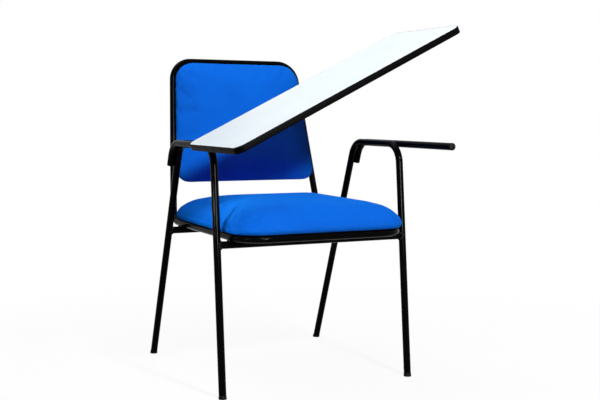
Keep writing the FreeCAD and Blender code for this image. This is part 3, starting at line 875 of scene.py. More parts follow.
@dataclass
class WeldedFrame:
    """Bent tubes of the chair, with the weld beads where they meet."""

    bead_radius: float = 0.0019
    bead_step: float = 0.0005
    ring_steps: int = 120
    ring_sink: float = 0.35
    ring_swell: float = 0.3
    stitch_length: float = 0.026
    stitch_places: tuple = (-0.118, 0.006)
    stitch_drop: float = 0.0055
    crossing_reach: float = 0.0062
    crossing_half: float = 0.0052
    crossing_steps: int = 10
    tube_nodes: dict = field(default_factory=lambda: {
        "right_side_tube": "side_frame_right",
        "left_side_tube": "side_frame_left",
        "pivot_bar_tube": "tablet_pivot_bar",
        "rest_bar_tube": "tablet_rest_bar",
        "front_rail_tube": "front_cross_rail",
        "rear_rail_tube": "rear_cross_rail",
        "seat_and_back_tube": "seat_back_loop",
    })

    def build(self) -> None:
        """Make the tubes and their welds."""
        for name, node in self.tube_nodes.items():
            Bench.piece(name, Bench.copy_of(node), GlossBlackPaint(), Slot.PAINT, replaces=[node])
        self.weld("rail_weld_beads", self.rings(), closed=True)
        self.weld("bar_weld_stitches", self.stitches())
        self.weld("crossing_weld_beads", self.crossings())

    def weld(self, name: str, paths: Iterable[list], closed: bool = False) -> None:
        """Lay beads along paths and keep them as one piece.

        Args:
            name: The piece's name.
            paths: Lists of points from the chair's datum.
            closed: True for rings.
        """
        work = bmesh.new()
        for path in paths:
            places = [DATUM + place for place in path]
            Shapes.absorb(work, Shapes.bead(places, self.bead_radius, closed))
        Bench.piece(name, work, WeldedPaint(), Slot.PAINT)

    def rings(self) -> Iterable[list]:
        """Paths round the ends of the cross rails, where they meet the legs.

        Yields:
            The points of one ring.
        """
        radius = SIZES.tube_radius
        swell = 1.0 + self.bead_radius * self.ring_swell / radius
        places = (
            (SIZES.front_leg(SIZES.rail_height), SIZES.front_rake),
            (SIZES.rear_leg(SIZES.rail_height), SIZES.rear_rake),
        )
        for level, rake in places:
            for side in (-1, 1):
                ring = []
                for step in range(self.ring_steps):
                    turn = FULL_TURN * step / self.ring_steps
                    along, up = radius * math.cos(turn), radius * math.sin(turn)
                    across = along * math.cos(rake) + up * math.sin(rake)
                    depth = math.sqrt(max(radius**2 - across**2, 0.0))
                    x = side * (SIZES.frame_half_width - depth - self.bead_radius * self.ring_sink)
                    ring.append(Vector((x, level + along * swell, SIZES.rail_height + up * swell)))
                yield ring

    def stitches(self) -> Iterable[list]:
        """Paths in the valleys between the arms and the tablet bars.

        Yields:
            The points of one stitch.
        """
        middle = (SIZES.frame_half_width + SIZES.bar_offset) / 2
        half = self.stitch_length / 2
        for side in (-1, 1):
            for level in self.stitch_places:
                for lift in (-self.stitch_drop, self.stitch_drop):
                    height = SIZES.arm_height + lift
                    start = Vector((side * middle, level - half, height))
                    end = Vector((side * middle, level + half, height))
                    count = max(int((end - start).length / self.bead_step), 4)
                    yield [start.lerp(end, step / count) for step in range(count + 1)]

    def crossings(self) -> Iterable[list]:
        """Paths where the seat loop stands on the cross rails.

        Yields:
            The points of one short bead.
        """
        radius, steps = SIZES.tube_radius, self.crossing_steps
        levels = (SIZES.front_leg(SIZES.rail_height), SIZES.rear_leg(SIZES.rail_height))
        under = SIZES.loop_height - math.sqrt(radius**2 - self.crossing_reach**2)
        for level in levels:
            for x in (-SIZES.loop_half_width, SIZES.loop_half_width):
                for reach in (-self.crossing_reach, self.crossing_reach):
                    path = []
                    for step in range(2 * steps + 1):
                        offset = self.crossing_half * (step / steps - 1)
                        over = SIZES.rail_height + math.sqrt(radius**2 - offset**2)
                        path.append(Vector((x + reach, level + offset, (under + over) / 2)))
                    yield path


# Plugs


@dataclass
class TubePlugs:
    """Moulded plugs in the feet and in the front ends of the tablet bars.

    The steps of their outlines are pairs of overhang past the rim and level at the tube's end.
    """

    foot_rim: float = 0.0005
    foot_steps: tuple = (
        (0.0004, -0.0078), (0.0002, -0.0060), (-0.0001, -0.0022), (-0.0001, -0.0009),
        (-0.0004, -0.0003),
    )
    foot_spare: float = 2.2
    foot_bevel: float = 0.0007
    shoulder: float = 0.0008
    shank_radius: float = 0.0074
    shank_length: float = 0.016
    bar_dome: float = 0.004
    bar_steps: tuple = ((0.0, -0.0012), (0.0, -0.0004), (-0.0005, 0.0))
    dome_points: int = 9
    dome_power: float = 0.9

    def build(self) -> None:
        """Make both sets of plugs."""
        self.feet()
        self.bar_ends()

    def shank(self) -> list:
        """Turned outline of a plug's shank in its tube."""
        reach = self.shank_length
        return [(self.shank_radius, 0.0), (self.shank_radius, reach), (0.0, reach)]

    def foot_profile(self) -> list:
        """Turned outline of a foot plug, from below the floor up to its shank.

        Returns:
            Pairs of radius and height, from the tube's end.
        """
        radius = SIZES.tube_radius
        rim = radius + self.foot_rim
        low = -self.foot_spare * SIZES.foot_height
        steps = [(rim + past, level) for past, level in self.foot_steps]
        return [
            (0.0, low), (steps[0][0], low), *steps, (radius - self.shoulder, 0.0), *self.shank(),
        ]

    def feet(self) -> None:
        """Foot plugs, cut level with the floor."""
        work = bmesh.new()
        legs = ((SIZES.front_leg, SIZES.front_rake), (SIZES.rear_leg, SIZES.rear_rake))
        for side in (-1, 1):
            for leg, rake in legs:
                foot = Shapes.turned(self.foot_profile())
                height = SIZES.foot_height
                end = Vector((side * SIZES.frame_half_width, leg(height), height))
                Bench.place(foot, FlatFrame(DATUM + end, Euler((rake, 0.0, 0.0)).to_matrix()))
                cut = bmesh.ops.bisect_plane(
                    foot, geom=foot.verts[:] + foot.edges[:] + foot.faces[:],
                    plane_co=(0.0, 0.0, 0.0), plane_no=(0.0, 0.0, -1.0), clear_outer=True,
                )
                bmesh.ops.edgeloop_fill(foot, edges=only(cut["geom_cut"], BMEdge))
                floor_rim = [
                    edge for edge in foot.edges if all(v.co.z < SAME_PLACE for v in edge.verts)
                ]
                Shapes.bevel(foot, floor_rim, self.foot_bevel, 3)
                Shapes.absorb(work, foot)
        Bench.piece("foot_plug_set", work, MouldedPlastic(), Slot.PLUG, replaces=["foot_plugs"])

    def bar_ends(self) -> None:
        """Domed plugs at the front of the tablet bars."""
        radius, points = SIZES.tube_radius, self.dome_points
        dome = [
            (radius * math.sin(angle), -self.bar_dome * math.cos(angle) ** self.dome_power)
            for angle in (math.pi / 2 * step / points for step in range(points))
        ]
        steps = [(radius + past, level) for past, level in self.bar_steps]
        work = bmesh.new()
        turn = Euler((math.radians(-90.0), 0.0, 0.0)).to_matrix()
        for side in (-1, 1):
            plug = Shapes.turned(dome + steps + self.shank())
            end = Vector((side * SIZES.bar_offset, -SIZES.bar_forward, SIZES.arm_height))
            Shapes.absorb(work, Bench.place(plug, FlatFrame(DATUM + end, turn)))
        Bench.piece("bar_plug_pair", work, MouldedPlastic(), Slot.PLUG, replaces=["bar_plugs"])


# Fixings


@dataclass
class Bolts:
    """Hexagonal bolts with a washer face, all pointing up from one level of a flat frame.

    The head's levels are shares of its height below its bearing face.
    """

    frame: FlatFrame
    places: list
    bearing: float
    length: float
    width: float = 0.008
    head: float = 0.0026
    shank: float = 0.0042
    hexagon_share: float = 0.86
    hexagon_middle: float = 0.57
    washer_share: float = 0.2
    washer_step: tuple = (0.96, 0.12)
    washer_sides: int = 32
    head_bevel: float = 0.0006
    spin: float = 0.7

    def one(self) -> BMesh:
        """Single bolt with its head's bearing face at height zero.

        Returns:
            The bolt's mesh.
        """
        work = bmesh.new()
        corner = self.width / 2 / math.cos(math.pi / 6)
        bmesh.ops.create_cone(
            work, cap_ends=True, segments=6, radius1=corner, radius2=corner,
            depth=self.head * self.hexagon_share,
        )
        lower = [edge for edge in work.edges if all(v.co.z < 0.0 for v in edge.verts)]
        Shapes.lift(work, -self.head * self.hexagon_middle)
        Shapes.bevel(work, lower, self.head_bevel, 3)
        inner, step = self.washer_step
        top = -self.head * self.washer_share
        Shapes.absorb(work, Shapes.turned([
            (0.0, top), (corner * inner, top), (corner, -self.head * step), (corner, 0.0),
            (self.shank / 2, 0.0), (self.shank / 2, self.length), (0.0, self.length),
        ], self.washer_sides))
        return work

    def build(self, name: str, node: str, body: Body) -> None:
        """Make the whole set.

        Args:
            name: The piece's name.
            node: The node that it stands for.
            body: The body that it rides on.
        """
        work = bmesh.new()
        for index, (x, y) in enumerate(self.places):
            bolt = self.one()
            spin = Matrix.Rotation(self.spin * index, 4, "Z")
            move = Matrix.Translation((x, y, self.bearing))
            bmesh.ops.transform(bolt, matrix=move @ spin, verts=bolt.verts)
            Shapes.absorb(work, bolt)
        Bench.piece(name, Bench.place(work, self.frame), ZincSteel(), Slot.SCREW, body, [node])


@dataclass
class FixingTabs:
    """Steel tabs welded inside a pair of tubes, with their bolts."""

    frame: FlatFrame
    levels: tuple
    taper: float
    axis: tuple
    thickness: float = 0.003
    length: float = 0.032
    reach: float = 0.036
    hole_inset: float = 0.010
    corner: float = 0.005
    corner_segments: int = 6
    eased: float = 0.0004
    bead_radius: float = 0.0016
    bead_share: float = 0.42
    bead_steps: int = 24
    bead_offset: float = 0.0006
    bead_depths: tuple = (1.0, 0.25)

    def axis_x(self, level: float) -> float:
        """Half width of the tube's axis at a level."""
        return self.axis[0] - level * self.axis[1]

    def tab(self, side: int, level: float, outer: float, inner: float) -> BMesh:
        """Plate with rounded inner corners.

        Args:
            side: 1 or -1, for the side of the chair.
            level: Level of its middle.
            outer: Half width at its welded end.
            inner: Half width at its free end.

        Returns:
            The tab's mesh.
        """
        tab = bmesh.new()
        bmesh.ops.create_cube(tab, size=1.0)
        scale = Matrix.Diagonal((outer - inner, self.length, self.thickness, 1.0))
        spot = (side * (outer + inner) / 2, level, -self.thickness / 2)
        bmesh.ops.transform(tab, matrix=Matrix.Translation(spot) @ scale, verts=tab.verts)
        upright = []
        for edge in tab.edges:
            first, second = (vert.co for vert in edge.verts)
            if (first - second).xy.length < SAME_PLACE and abs(first.x) < (outer + inner) / 2:
                upright.append(edge)
        Shapes.bevel(tab, upright, self.corner, self.corner_segments)
        Shapes.ease(tab, self.eased)
        return tab

    def bead_path(self, side: int, level: float, outer: float, depth: float) -> list:
        """Points of the weld bead along one face of a tab's outer end.

        Args:
            side: 1 or -1, for the side of the chair.
            level: Level of the tab's middle.
            outer: Half width at its welded end.
            depth: Share of its thickness at which the bead lies.

        Returns:
            The points in the flat frame.
        """
        lean, half, points = math.tan(self.taper), self.length * self.bead_share, []
        for step in range(2 * self.bead_steps + 1):
            offset = half * (step / self.bead_steps - 1)
            x = outer + self.bead_offset - offset * lean
            points.append(Vector((side * x, level + offset, -self.thickness * depth)))
        return points

    def build(self, name: str, node: str, bolts: str, bolt_node: str) -> None:
        """Make the tabs, their weld beads and their bolts.

        Args:
            name: Name of the tabs' piece.
            node: The node of the tabs.
            bolts: Name of the bolts' piece.
            bolt_node: The node of the bolts.
        """
        radius = SIZES.tube_radius
        half_width = math.sqrt(radius**2 - (radius - self.thickness) ** 2)
        stand_off = half_width / math.cos(self.taper) + SIZES.weld_gap
        stand_off += math.tan(self.taper) * self.length / 2
        work, beads, places = bmesh.new(), bmesh.new(), []
        for level in self.levels:
            outer, inner = self.axis_x(level) - stand_off, self.axis_x(level) - self.reach
            for side in (-1, 1):
                Shapes.absorb(work, self.tab(side, level, outer, inner))
                for depth in self.bead_depths:
                    path = self.bead_path(side, level, outer, depth)
                    Shapes.absorb(beads, Shapes.bead(path, self.bead_radius))
                places.append((side * (inner + self.hole_inset), level))
        Bench.place(work, self.frame)
        Bench.place(beads, self.frame)
        Bench.piece(name, work, GlossBlackPaint(), Slot.PAINT, replaces=[node])
        Bench.piece(f"{name}_welds", beads, WeldedPaint(), Slot.PAINT)
        length = self.thickness + SIZES.pad_clearance + SIZES.screw_bite
        Bolts(self.frame, places, -self.thickness, length).build(bolts, bolt_node, Body.FRAME)


# Cushions


CLOTH_SETTINGS = {
    "quality": 6,
    "mass": 0.25,
    "tension_stiffness": 18.0,
    "compression_stiffness": 18.0,
    "shear_stiffness": 8.0,
    "bending_stiffness": 0.9,
    "use_pressure": True,
    "vertex_group_mass": "held",
}


@dataclass
class Cushion:
    """Foam cushion under a stretched cloth cover, stapled round the back of its board."""

    name: str
    frame: FlatFrame
    low: float
    high: float
    half_low: float
    half_high: float
    radius_low: float
    radius_high: float
    height: float
    board: float
    inset: float = 0.020
    clearance: float = 0.0003
    board_eased: float = 0.0008
    voxel: float = 0.005
    pressure: float = 3.0
    cloth_frames: int = 20
    held_level: float = 0.004
    held_fade: float = 0.012
    swell_cap: float = 0.0035
    swell_start: float = 0.0015
    crown_segments: int = 14
    growth: float = 0.012
    proud: float = 0.0015
    base_gap: float = 0.0002
    base_share: float = 0.6
    fill: float = 0.9
    size_shares: tuple = (
        0.976, 0.988, 0.996, 0.999, 1.0, 0.993, 0.966, 0.912, 0.822, 0.702, 0.552, 0.406, 0.236,
        0.090,
    )
    height_shares: tuple = (
        0.0, 0.02, 0.06, 0.11, 0.2, 0.331, 0.457, 0.590, 0.723, 0.831, 0.913, 0.961, 0.990, 1.0,
    )
    hem_width: float = 0.024
    hem_lap: float = 0.001
    hem_segments: int = 12
    hem_thickness: float = 0.0002
    hem_gap: float = 0.00004
    hem_margin: float = 0.6
    hem_side: float = 0.03
    hem_cuts: int = 26
    hem_waves: tuple = ((0.0012, 190.0), (0.0009, 230.0))
    staple_inset: float = 0.013
    staple_pitch: float = 0.042
    staple_ends: tuple = (0.030, 0.045)
    staple_size: tuple = (0.0098, 0.0009, 0.00045)
    staple_bevel: float = 0.00012
    staple_sink: float = 0.00012
    staple_tilt: float = 0.12
    staple_rhythms: tuple = (2.3, 1.7)

    def build(self) -> None:
        """Make the cover, the board, the turned-under hem and its staples."""
        self.cover()
        self.plywood()
        self.hem()
        self.staples()

    @property
    def middle(self) -> float:
        """Level of the cushion's middle."""
        return (self.low + self.high) / 2

    def half_at(self, level: float) -> float:
        """Half width of the cushion at a level."""
        share = (level - self.low) / (self.high - self.low)
        return self.half_low + (self.half_high - self.half_low) * share

    def outline(self, inset: float, segments: int = 10) -> BMesh:
        """Outline of the cushion, drawn in all round.

        Args:
            inset: How far it is drawn in.
            segments: Segments in each corner.

        Returns:
            A mesh with one face that looks up.
        """
        return Shapes.outline(
            self.low + inset, self.high - inset, self.half_low - inset, self.half_high - inset,
            (self.radius_low - inset, self.radius_high - inset), segments,
        )

    def crowned(self) -> BMesh:
        """Crowned form of the foam, built ring by ring.

        Returns:
            The closed mesh in the flat frame.
        """
        work = self.outline(self.swell_start, self.crown_segments)
        crown = self.height - self.swell_start
        ring, first = list(work.verts), self.size_shares[0]
        for vert in ring:
            vert.co = self.level(vert.co, first, 0.0)
        previous = first
        for share, lift in zip(self.size_shares[1:], self.height_shares[1:]):
            top = [face for face in work.faces if all(vert in ring for vert in face.verts)]
            grown = bmesh.ops.extrude_face_region(work, geom=top)
            if previous != first:
                bmesh.ops.delete(work, geom=top, context="FACES_ONLY")
            ring = only(grown["geom"], BMVert)
            for vert in ring:
                vert.co = self.level(vert.co, share / previous, crown * lift)
            previous = share
        bmesh.ops.recalc_face_normals(work, faces=work.faces)
        return work

    def cover(self) -> None:
        """Crowned cover, swollen as cloth and set on its board."""
        work = Bench.place(self.crowned(), self.frame)
        nodes = [f"{self.name}_cushion"]
        cover = Bench.piece(
            f"{self.name}_cover", work, BlueCloth(), Slot.FABRIC, replaces=nodes
        )
        self.remesh(cover)
        self.swell(cover)
        self.smooth(cover)
        self.settle(cover)
        LOG.info("%s: %d faces after swelling", cover.name, len(cover.data.polygons))

    def level(self, place: Vector, share: float, height: float) -> Vector:
        """Point drawn in towards the middle and lifted to a height."""
        return Vector((place.x * share, self.middle + (place.y - self.middle) * share, height))

    def remesh(self, cover: bpy.types.Object) -> None:
        """Turn the cover into an even skin of small faces, baked into its mesh.

        Args:
            cover: The cover.
        """
        skin = cover.modifiers.new("even_skin", "REMESH")
        skin.mode = "VOXEL"
        skin.voxel_size = self.voxel
        graph = bpy.context.evaluated_depsgraph_get()
        baked = bpy.data.meshes.new_from_object(cover.evaluated_get(graph))
        old = cover.data
        materials = [slot.material for slot in cover.material_slots]
        cover.modifiers.clear()
        cover.data = baked
        baked.materials.clear()
        for material in materials:
            baked.materials.append(material)
        bpy.data.meshes.remove(old)

    def swell(self, cover: bpy.types.Object) -> None:
        """Blow the cover up as cloth round its foam, held along its stapled edge.

        Args:
            cover: The cover.
        """
        back = self.frame.matrix.inverted()
        rest = [vert.co.copy() for vert in cover.data.vertices]
        group = cover.vertex_groups.new(name="held")
        for index, place in enumerate(rest):
            height = (back @ place).z
            hold = max(0.0, min(1.0, 1.0 - (height - self.held_level) / self.held_fade))
            if hold > 0.0:
                group.add([index], hold, "REPLACE")
        cloth = cover.modifiers.new("cloth", "CLOTH")
        for name, value in CLOTH_SETTINGS.items():
            setattr(cloth.settings, name, value)
        cloth.settings.uniform_pressure_force = self.pressure
        cloth.settings.shrink_min = cloth.settings.shrink_max = -self.growth
        cloth.settings.effector_weights.gravity = 0.0
        cloth.point_cache.frame_start = 1
        cloth.point_cache.frame_end = self.cloth_frames
        scene = bpy.context.scene
        for step in range(1, self.cloth_frames + 1):
            scene.frame_set(step)
        graph = bpy.context.evaluated_depsgraph_get()
        blown = cover.evaluated_get(graph).data
        moved = []
        for place, vert in zip(rest, blown.vertices):
            shift = vert.co - place
            if shift.length > self.swell_cap:
                shift = shift.normalized() * self.swell_cap
            moved.append(place + shift)
        cover.modifiers.clear()
        cover.vertex_groups.clear()
        for vert, place in zip(cover.data.vertices, moved):
            vert.co = place
        scene.frame_set(1)

    def settle(self, cover: bpy.types.Object) -> None:
        """Fit the cover to the cushion's own size, its base flat and clear of the tubes.

        Args:
            cover: The cover.
        """
        back = self.frame.matrix.inverted()
        places = [back @ vert.co for vert in cover.data.vertices]
        low, high = (
            [end(place[axis] for place in places) for axis in range(3)] for end in (min, max)
        )
        half = self.half_at(self.low + self.radius_low) + self.proud
        base = self.clearance + self.base_gap
        aim_low = Vector((-half, self.low - self.proud, base))
        aim_high = Vector((half, self.high + self.proud, self.height))
        for vert, place in zip(cover.data.vertices, places):
            for axis in range(3):
                share = (place[axis] - low[axis]) / (high[axis] - low[axis])
                place[axis] = aim_low[axis] + share * (aim_high[axis] - aim_low[axis])
            place.z = base if place.z < base + self.voxel * self.base_share else place.z
            vert.co = self.frame.matrix @ place

    @staticmethod
    def smooth(cover: bpy.types.Object) -> None:
        """Smooth the skin and halve its faces once.

        Args:
            cover: The cover.
        """
        work = bmesh.new()
        work.from_mesh(cover.data)
        for _ in range(2):
            bmesh.ops.smooth_vert(
                work, verts=work.verts, factor=0.5, use_axis_x=True, use_axis_y=True,
                use_axis_z=True,
            )
        for face in work.faces:
            face.smooth = True
        work.to_mesh(cover.data)
        work.free()
        finer = cover.modifiers.new("finer", "SUBSURF")
        finer.levels = 1
        finer.render_levels = 1

    def plywood(self) -> None:
        """Plywood board with eased edges."""
        work = self.outline(self.inset)
        Shapes.raise_face(work, self.board)
        Shapes.ease(work, self.board_eased)
        Shapes.lift(work, self.clearance)
        nodes = [f"{self.name}_board"]
        Bench.place(work, self.frame)
        Bench.piece(f"{self.name}_plywood", work, Plywood(), Slot.PLYWOOD, replaces=nodes)

    def hem(self) -> None:
        """Cloth turned under the board, its cut edge slightly wavy between the corners."""
        work = self.outline(self.inset - self.hem_lap, self.hem_segments)
        grown = bmesh.ops.inset_region(
            work, faces=list(work.faces), thickness=self.hem_width, use_boundary=True,
            use_even_offset=True,
        )
        inner = [face for face in work.faces if face not in grown["faces"]]
        bmesh.ops.delete(work, geom=inner, context="FACES")
        sides = [edge for edge in work.edges if edge.calc_length() > self.hem_side]
        bmesh.ops.subdivide_edges(work, edges=sides, cuts=self.hem_cuts, use_grid_fill=True)
        margin = self.inset + self.hem_width * self.hem_margin
        (wide, wide_rate), (tall, tall_rate) = self.hem_waves
        for vert in [vert for vert in work.verts if vert.is_boundary]:
            x, y = vert.co.x, vert.co.y
            bend = wide * math.sin(x * wide_rate) + tall * math.sin(y * tall_rate)
            level = self.low + margin
            if abs(x) < self.half_high - margin and level < y < 2 * self.middle - level:
                vert.co += Vector((x, y - self.middle, 0.0)).normalized() * bend
        Shapes.lift(work, self.clearance - self.hem_gap)
        bmesh.ops.solidify(work, geom=list(work.faces), thickness=self.hem_thickness)
        bmesh.ops.recalc_face_normals(work, faces=work.faces)
        Bench.place(work, self.frame)
        Bench.piece(f"{self.name}_hem", work, BlueCloth(), Slot.FABRIC)

    def staple_spots(self) -> Iterable[tuple]:
        """Places of the staples round the hem.

        Yields:
            Half width, level and turn of one staple.
        """
        inset = self.inset + self.staple_inset
        across, up = self.staple_ends
        reach = self.half_high - inset
        for level in (self.low + inset, self.high - inset):
            count = int(reach * 2 / self.staple_pitch)
            for step in range(count):
                x = (step / (count - 1) * 2 - 1) * (reach - across)
                yield x, level, self.staple_tilt * math.sin(step * self.staple_rhythms[0])
        span = self.high - self.low - 2 * inset - 2 * up
        count = int(span / self.staple_pitch)
        for step in range(count):
            level = self.low + inset + up + step / (count - 1) * span
            turn = math.pi / 2 + self.staple_tilt * math.sin(step * self.staple_rhythms[1])
            for side in (-1, 1):
                yield side * (self.half_at(level) - inset), level, turn

    def staples(self) -> None:
        """Wire staples along the hem."""
        work = bmesh.new()
        for x, y, turn in self.staple_spots():
            wire = bmesh.new()
            bmesh.ops.create_cube(wire, size=1.0)
            size = Matrix.Diagonal((*self.staple_size, 1.0))
            bmesh.ops.transform(wire, matrix=size, verts=wire.verts)
            move = Matrix.Translation((x, y, -self.staple_sink)) @ Matrix.Rotation(turn, 4, "Z")
            bmesh.ops.transform(wire, matrix=move, verts=wire.verts)
            Shapes.bevel(wire, wire.edges, self.staple_bevel, 1)
            Shapes.absorb(work, wire)
        Bench.place(work, self.frame)
        Bench.piece(f"{self.name}_staples", work, ZincSteel(), Slot.SCREW)


# Writing tablet


@dataclass
class WritingTablet:
    """Tablet board, its edge band and the saddle straps that turn on the bar."""

    frame: FlatFrame = field(default_factory=tablet_frame)
    overhang: float = 0.043
    length: float = 0.6506
    rear: float = 0.1768
    depth: float = 0.3103
    thickness: float = 0.016
    corner: float = 0.025
    corner_segments: int = 12
    band: float = 0.002
    band_bevel: float = 0.0013
    level_normal: float = 0.9
    sharp_degrees: float = 60.0
    glue: float = 0.0001
    backing: float = 0.0007
    laminate: float = 0.0008
    strap_thickness: float = 0.002
    strap_width: float = 0.030
    strap_ear: float = 0.022
    strap_bend: float = 0.0022
    bend_steps: int = 5
    saddle_steps: int = 28
    strap_eased: float = 0.0003
    strap_levels: tuple = (-0.370, -0.230)

    @property
    def underside(self) -> float:
        """Level of the board's underside over the bar's axis."""
        return SIZES.tube_radius + SIZES.strap_clearance

    @property
    def middle(self) -> float:
        """Place of the board's middle across the chair."""
        return self.length / 2 - self.overhang

    def build(self) -> None:
        """Make the board, its skins, the band, the straps and their bolts."""
        low, top = self.underside, self.underside + self.thickness
        skin, face = low + self.backing, top - self.laminate
        self.plate("tablet_pressed_core", skin, face, PressedBoard(), Slot.CORE, "tablet_core")
        self.plate("tablet_backing_sheet", low, skin, BackingSheet(), Slot.CORE)
        self.plate(
            "tablet_writing_face", face, top, WhiteLaminate(), Slot.LAMINATE, "tablet_laminate"
        )
        self.edge_band()
        self.straps()

    def outline(self, inset: float) -> BMesh:
        """Outline of the tablet, drawn in all round.

        Args:
            inset: How far it is drawn in.

        Returns:
            A mesh with one face that looks up.
        """
        half, radius = self.length / 2 - inset, self.corner - inset
        low, high = -self.rear - self.depth + inset, -self.rear - inset
        radii = (radius, radius)
        work = Shapes.outline(low, high, half, half, radii, self.corner_segments)
        bmesh.ops.translate(work, vec=(self.middle, 0.0, 0.0), verts=work.verts)
        return work

    def plate(
        self, name: str, low: float, high: float, finish: Finish, slot: Slot, *nodes: str
    ) -> None:
        """Flat layer of the tablet between two levels, inside the band.

        Args:
            name: The piece's name.
            low: Its lower level.
            high: Its upper level.
            finish: Its finish.
            slot: The record's slot.
            nodes: Nodes that it stands for.
        """
        work = self.outline(self.band + self.glue)
        Shapes.raise_face(work, high - low)
        Shapes.lift(work, low)
        Bench.piece(name, Bench.place(work, self.frame), finish, slot, Body.TABLET, nodes)

    def edge_band(self) -> None:
        """Band round the tablet's edge with rounded lips."""
        work = self.outline(0.0)
        Shapes.raise_face(work, self.thickness)
        flats = [face for face in work.faces if abs(face.normal.z) > self.level_normal]
        bmesh.ops.delete(work, geom=flats, context="FACES_ONLY")
        Shapes.lift(work, self.underside)
        bmesh.ops.solidify(work, geom=list(work.faces), thickness=self.band)
        bmesh.ops.recalc_face_normals(work, faces=work.faces)
        rims, sharp = [], math.radians(self.sharp_degrees)
        for edge in work.edges:
            level = abs(edge.verts[0].co.z - edge.verts[1].co.z) < SAME_PLACE
            outer = all(self.is_outer(vert.co) for vert in edge.verts)
            if level and outer and edge.calc_face_angle(0.0) > sharp:
                rims.append(edge)
        Shapes.bevel(work, rims, self.band_bevel, 4)
        Bench.place(work, self.frame)
        nodes = ["tablet_edge_band"]
        Bench.piece(
            "tablet_rounded_band", work, BlackEdgeBand(), Slot.BAND, Body.TABLET, nodes
        )

    def is_outer(self, place: Vector) -> bool:
        """Whether a point lies on the outside of the band.

        Args:
            place: The point in the flat frame.

        Returns:
            True if it is nearer to the outside than to the inside.
        """
        radius, low, high = self.corner, -self.rear - self.depth, -self.rear
        along = max(abs(place.x - self.middle) - (self.length / 2 - radius), 0.0)
        across = max(place.y - (high - radius), (low + radius) - place.y, 0.0)
        return math.hypot(along, across) > radius - self.band / 2

    def strap_shape(self, level: float) -> BMesh:
        """Strap bent round the underside of the bar, centred on a level.

        Args:
            level: Place of its middle along the bar.

        Returns:
            The strap's mesh in the tablet's flat frame.
        """
        middle = self.underside + self.strap_thickness / 2
        reach = self.underside + self.strap_thickness + self.strap_ear
        flat = self.underside - self.strap_thickness / 2
        bend, quarter = self.strap_bend, math.radians(90.0)
        work = bmesh.new()
        half = self.strap_width / 2
        ends = [work.verts.new((-reach, level + side * half, flat)) for side in (-1, 1)]
        edge = [work.edges.new(ends)]
        edge = self.run(work, edge, (reach - middle - bend, 0.0, 0.0))
        edge = self.arc(work, edge, (-middle - bend, 0.0, flat - bend), quarter, self.bend_steps)
        edge = self.run(work, edge, (0.0, 0.0, bend - flat))
        edge = self.arc(work, edge, (0.0, 0.0, 0.0), -2 * quarter, self.saddle_steps)
        edge = self.run(work, edge, (0.0, 0.0, flat - bend))
        edge = self.arc(work, edge, (middle + bend, 0.0, flat - bend), quarter, self.bend_steps)
        self.run(work, edge, (reach - middle - bend, 0.0, 0.0))
        bmesh.ops.recalc_face_normals(work, faces=work.faces)
        bmesh.ops.solidify(work, geom=list(work.faces), thickness=self.strap_thickness)
        bmesh.ops.recalc_face_normals(work, faces=work.faces)
        Shapes.lift(work, self.underside - max(vert.co.z for vert in work.verts))
        Shapes.ease(work, self.strap_eased, self.sharp_degrees)
        return work

    @staticmethod
    def run(work: BMesh, edge: list, step: tuple) -> list:
        """Extrude an edge straight.

        Args:
            work: The strap's mesh.
            edge: List of the edge to extrude.
            step: Its move.

        Returns:
            List of the new edge.
        """
        grown = bmesh.ops.extrude_edge_only(work, edges=edge)["geom"]
        verts = only(grown, BMVert)
        bmesh.ops.translate(work, vec=step, verts=verts)
        return [item for item in only(grown, BMEdge) if all(vert in verts for vert in item.verts)]

    @staticmethod
    def arc(work: BMesh, edge: list, centre: tuple, angle: float, steps: int) -> list:
        """Spin an edge about an axis along Y.

        Args:
            work: The strap's mesh.
            edge: List of the edge to spin.
            centre: Point on the axis.
            angle: Turn in radians.
            steps: Steps along the turn.

        Returns:
            List of the new edge.
        """
        grown = bmesh.ops.spin(
            work, geom=edge + list(edge[0].verts), cent=centre, axis=(0.0, 1.0, 0.0),
            angle=angle, steps=steps,
        )
        return only(grown["geom_last"], BMEdge)

    def straps(self) -> None:
        """Both straps and their bolts."""
        nodes = {"front_saddle": "saddle_strap_front", "rear_saddle": "saddle_strap_rear"}
        ear = self.underside + self.strap_thickness + self.strap_ear / 2
        places = []
        for (name, node), level in zip(nodes.items(), self.strap_levels):
            work = Bench.place(self.strap_shape(level), self.frame)
            Bench.piece(name, work, GlossBlackPaint(), Slot.PAINT, Body.TABLET, [node])
            places += [(-ear, level), (ear, level)]
        bearing = self.underside - self.strap_thickness
        bolts = Bolts(self.frame, places, bearing, self.strap_thickness + SIZES.screw_bite)
        bolts.build("strap_bolts", "strap_screws", Body.TABLET)


# Studio


@dataclass(frozen=True)
class Softbox:
    """Flat lamp of the studio, from the chair's datum, and what it lights."""

    name: str
    place: tuple
    target: tuple
    size: tuple
    power: float
    spread: float = math.pi
    diffuse: bool = True
    glossy: bool = True


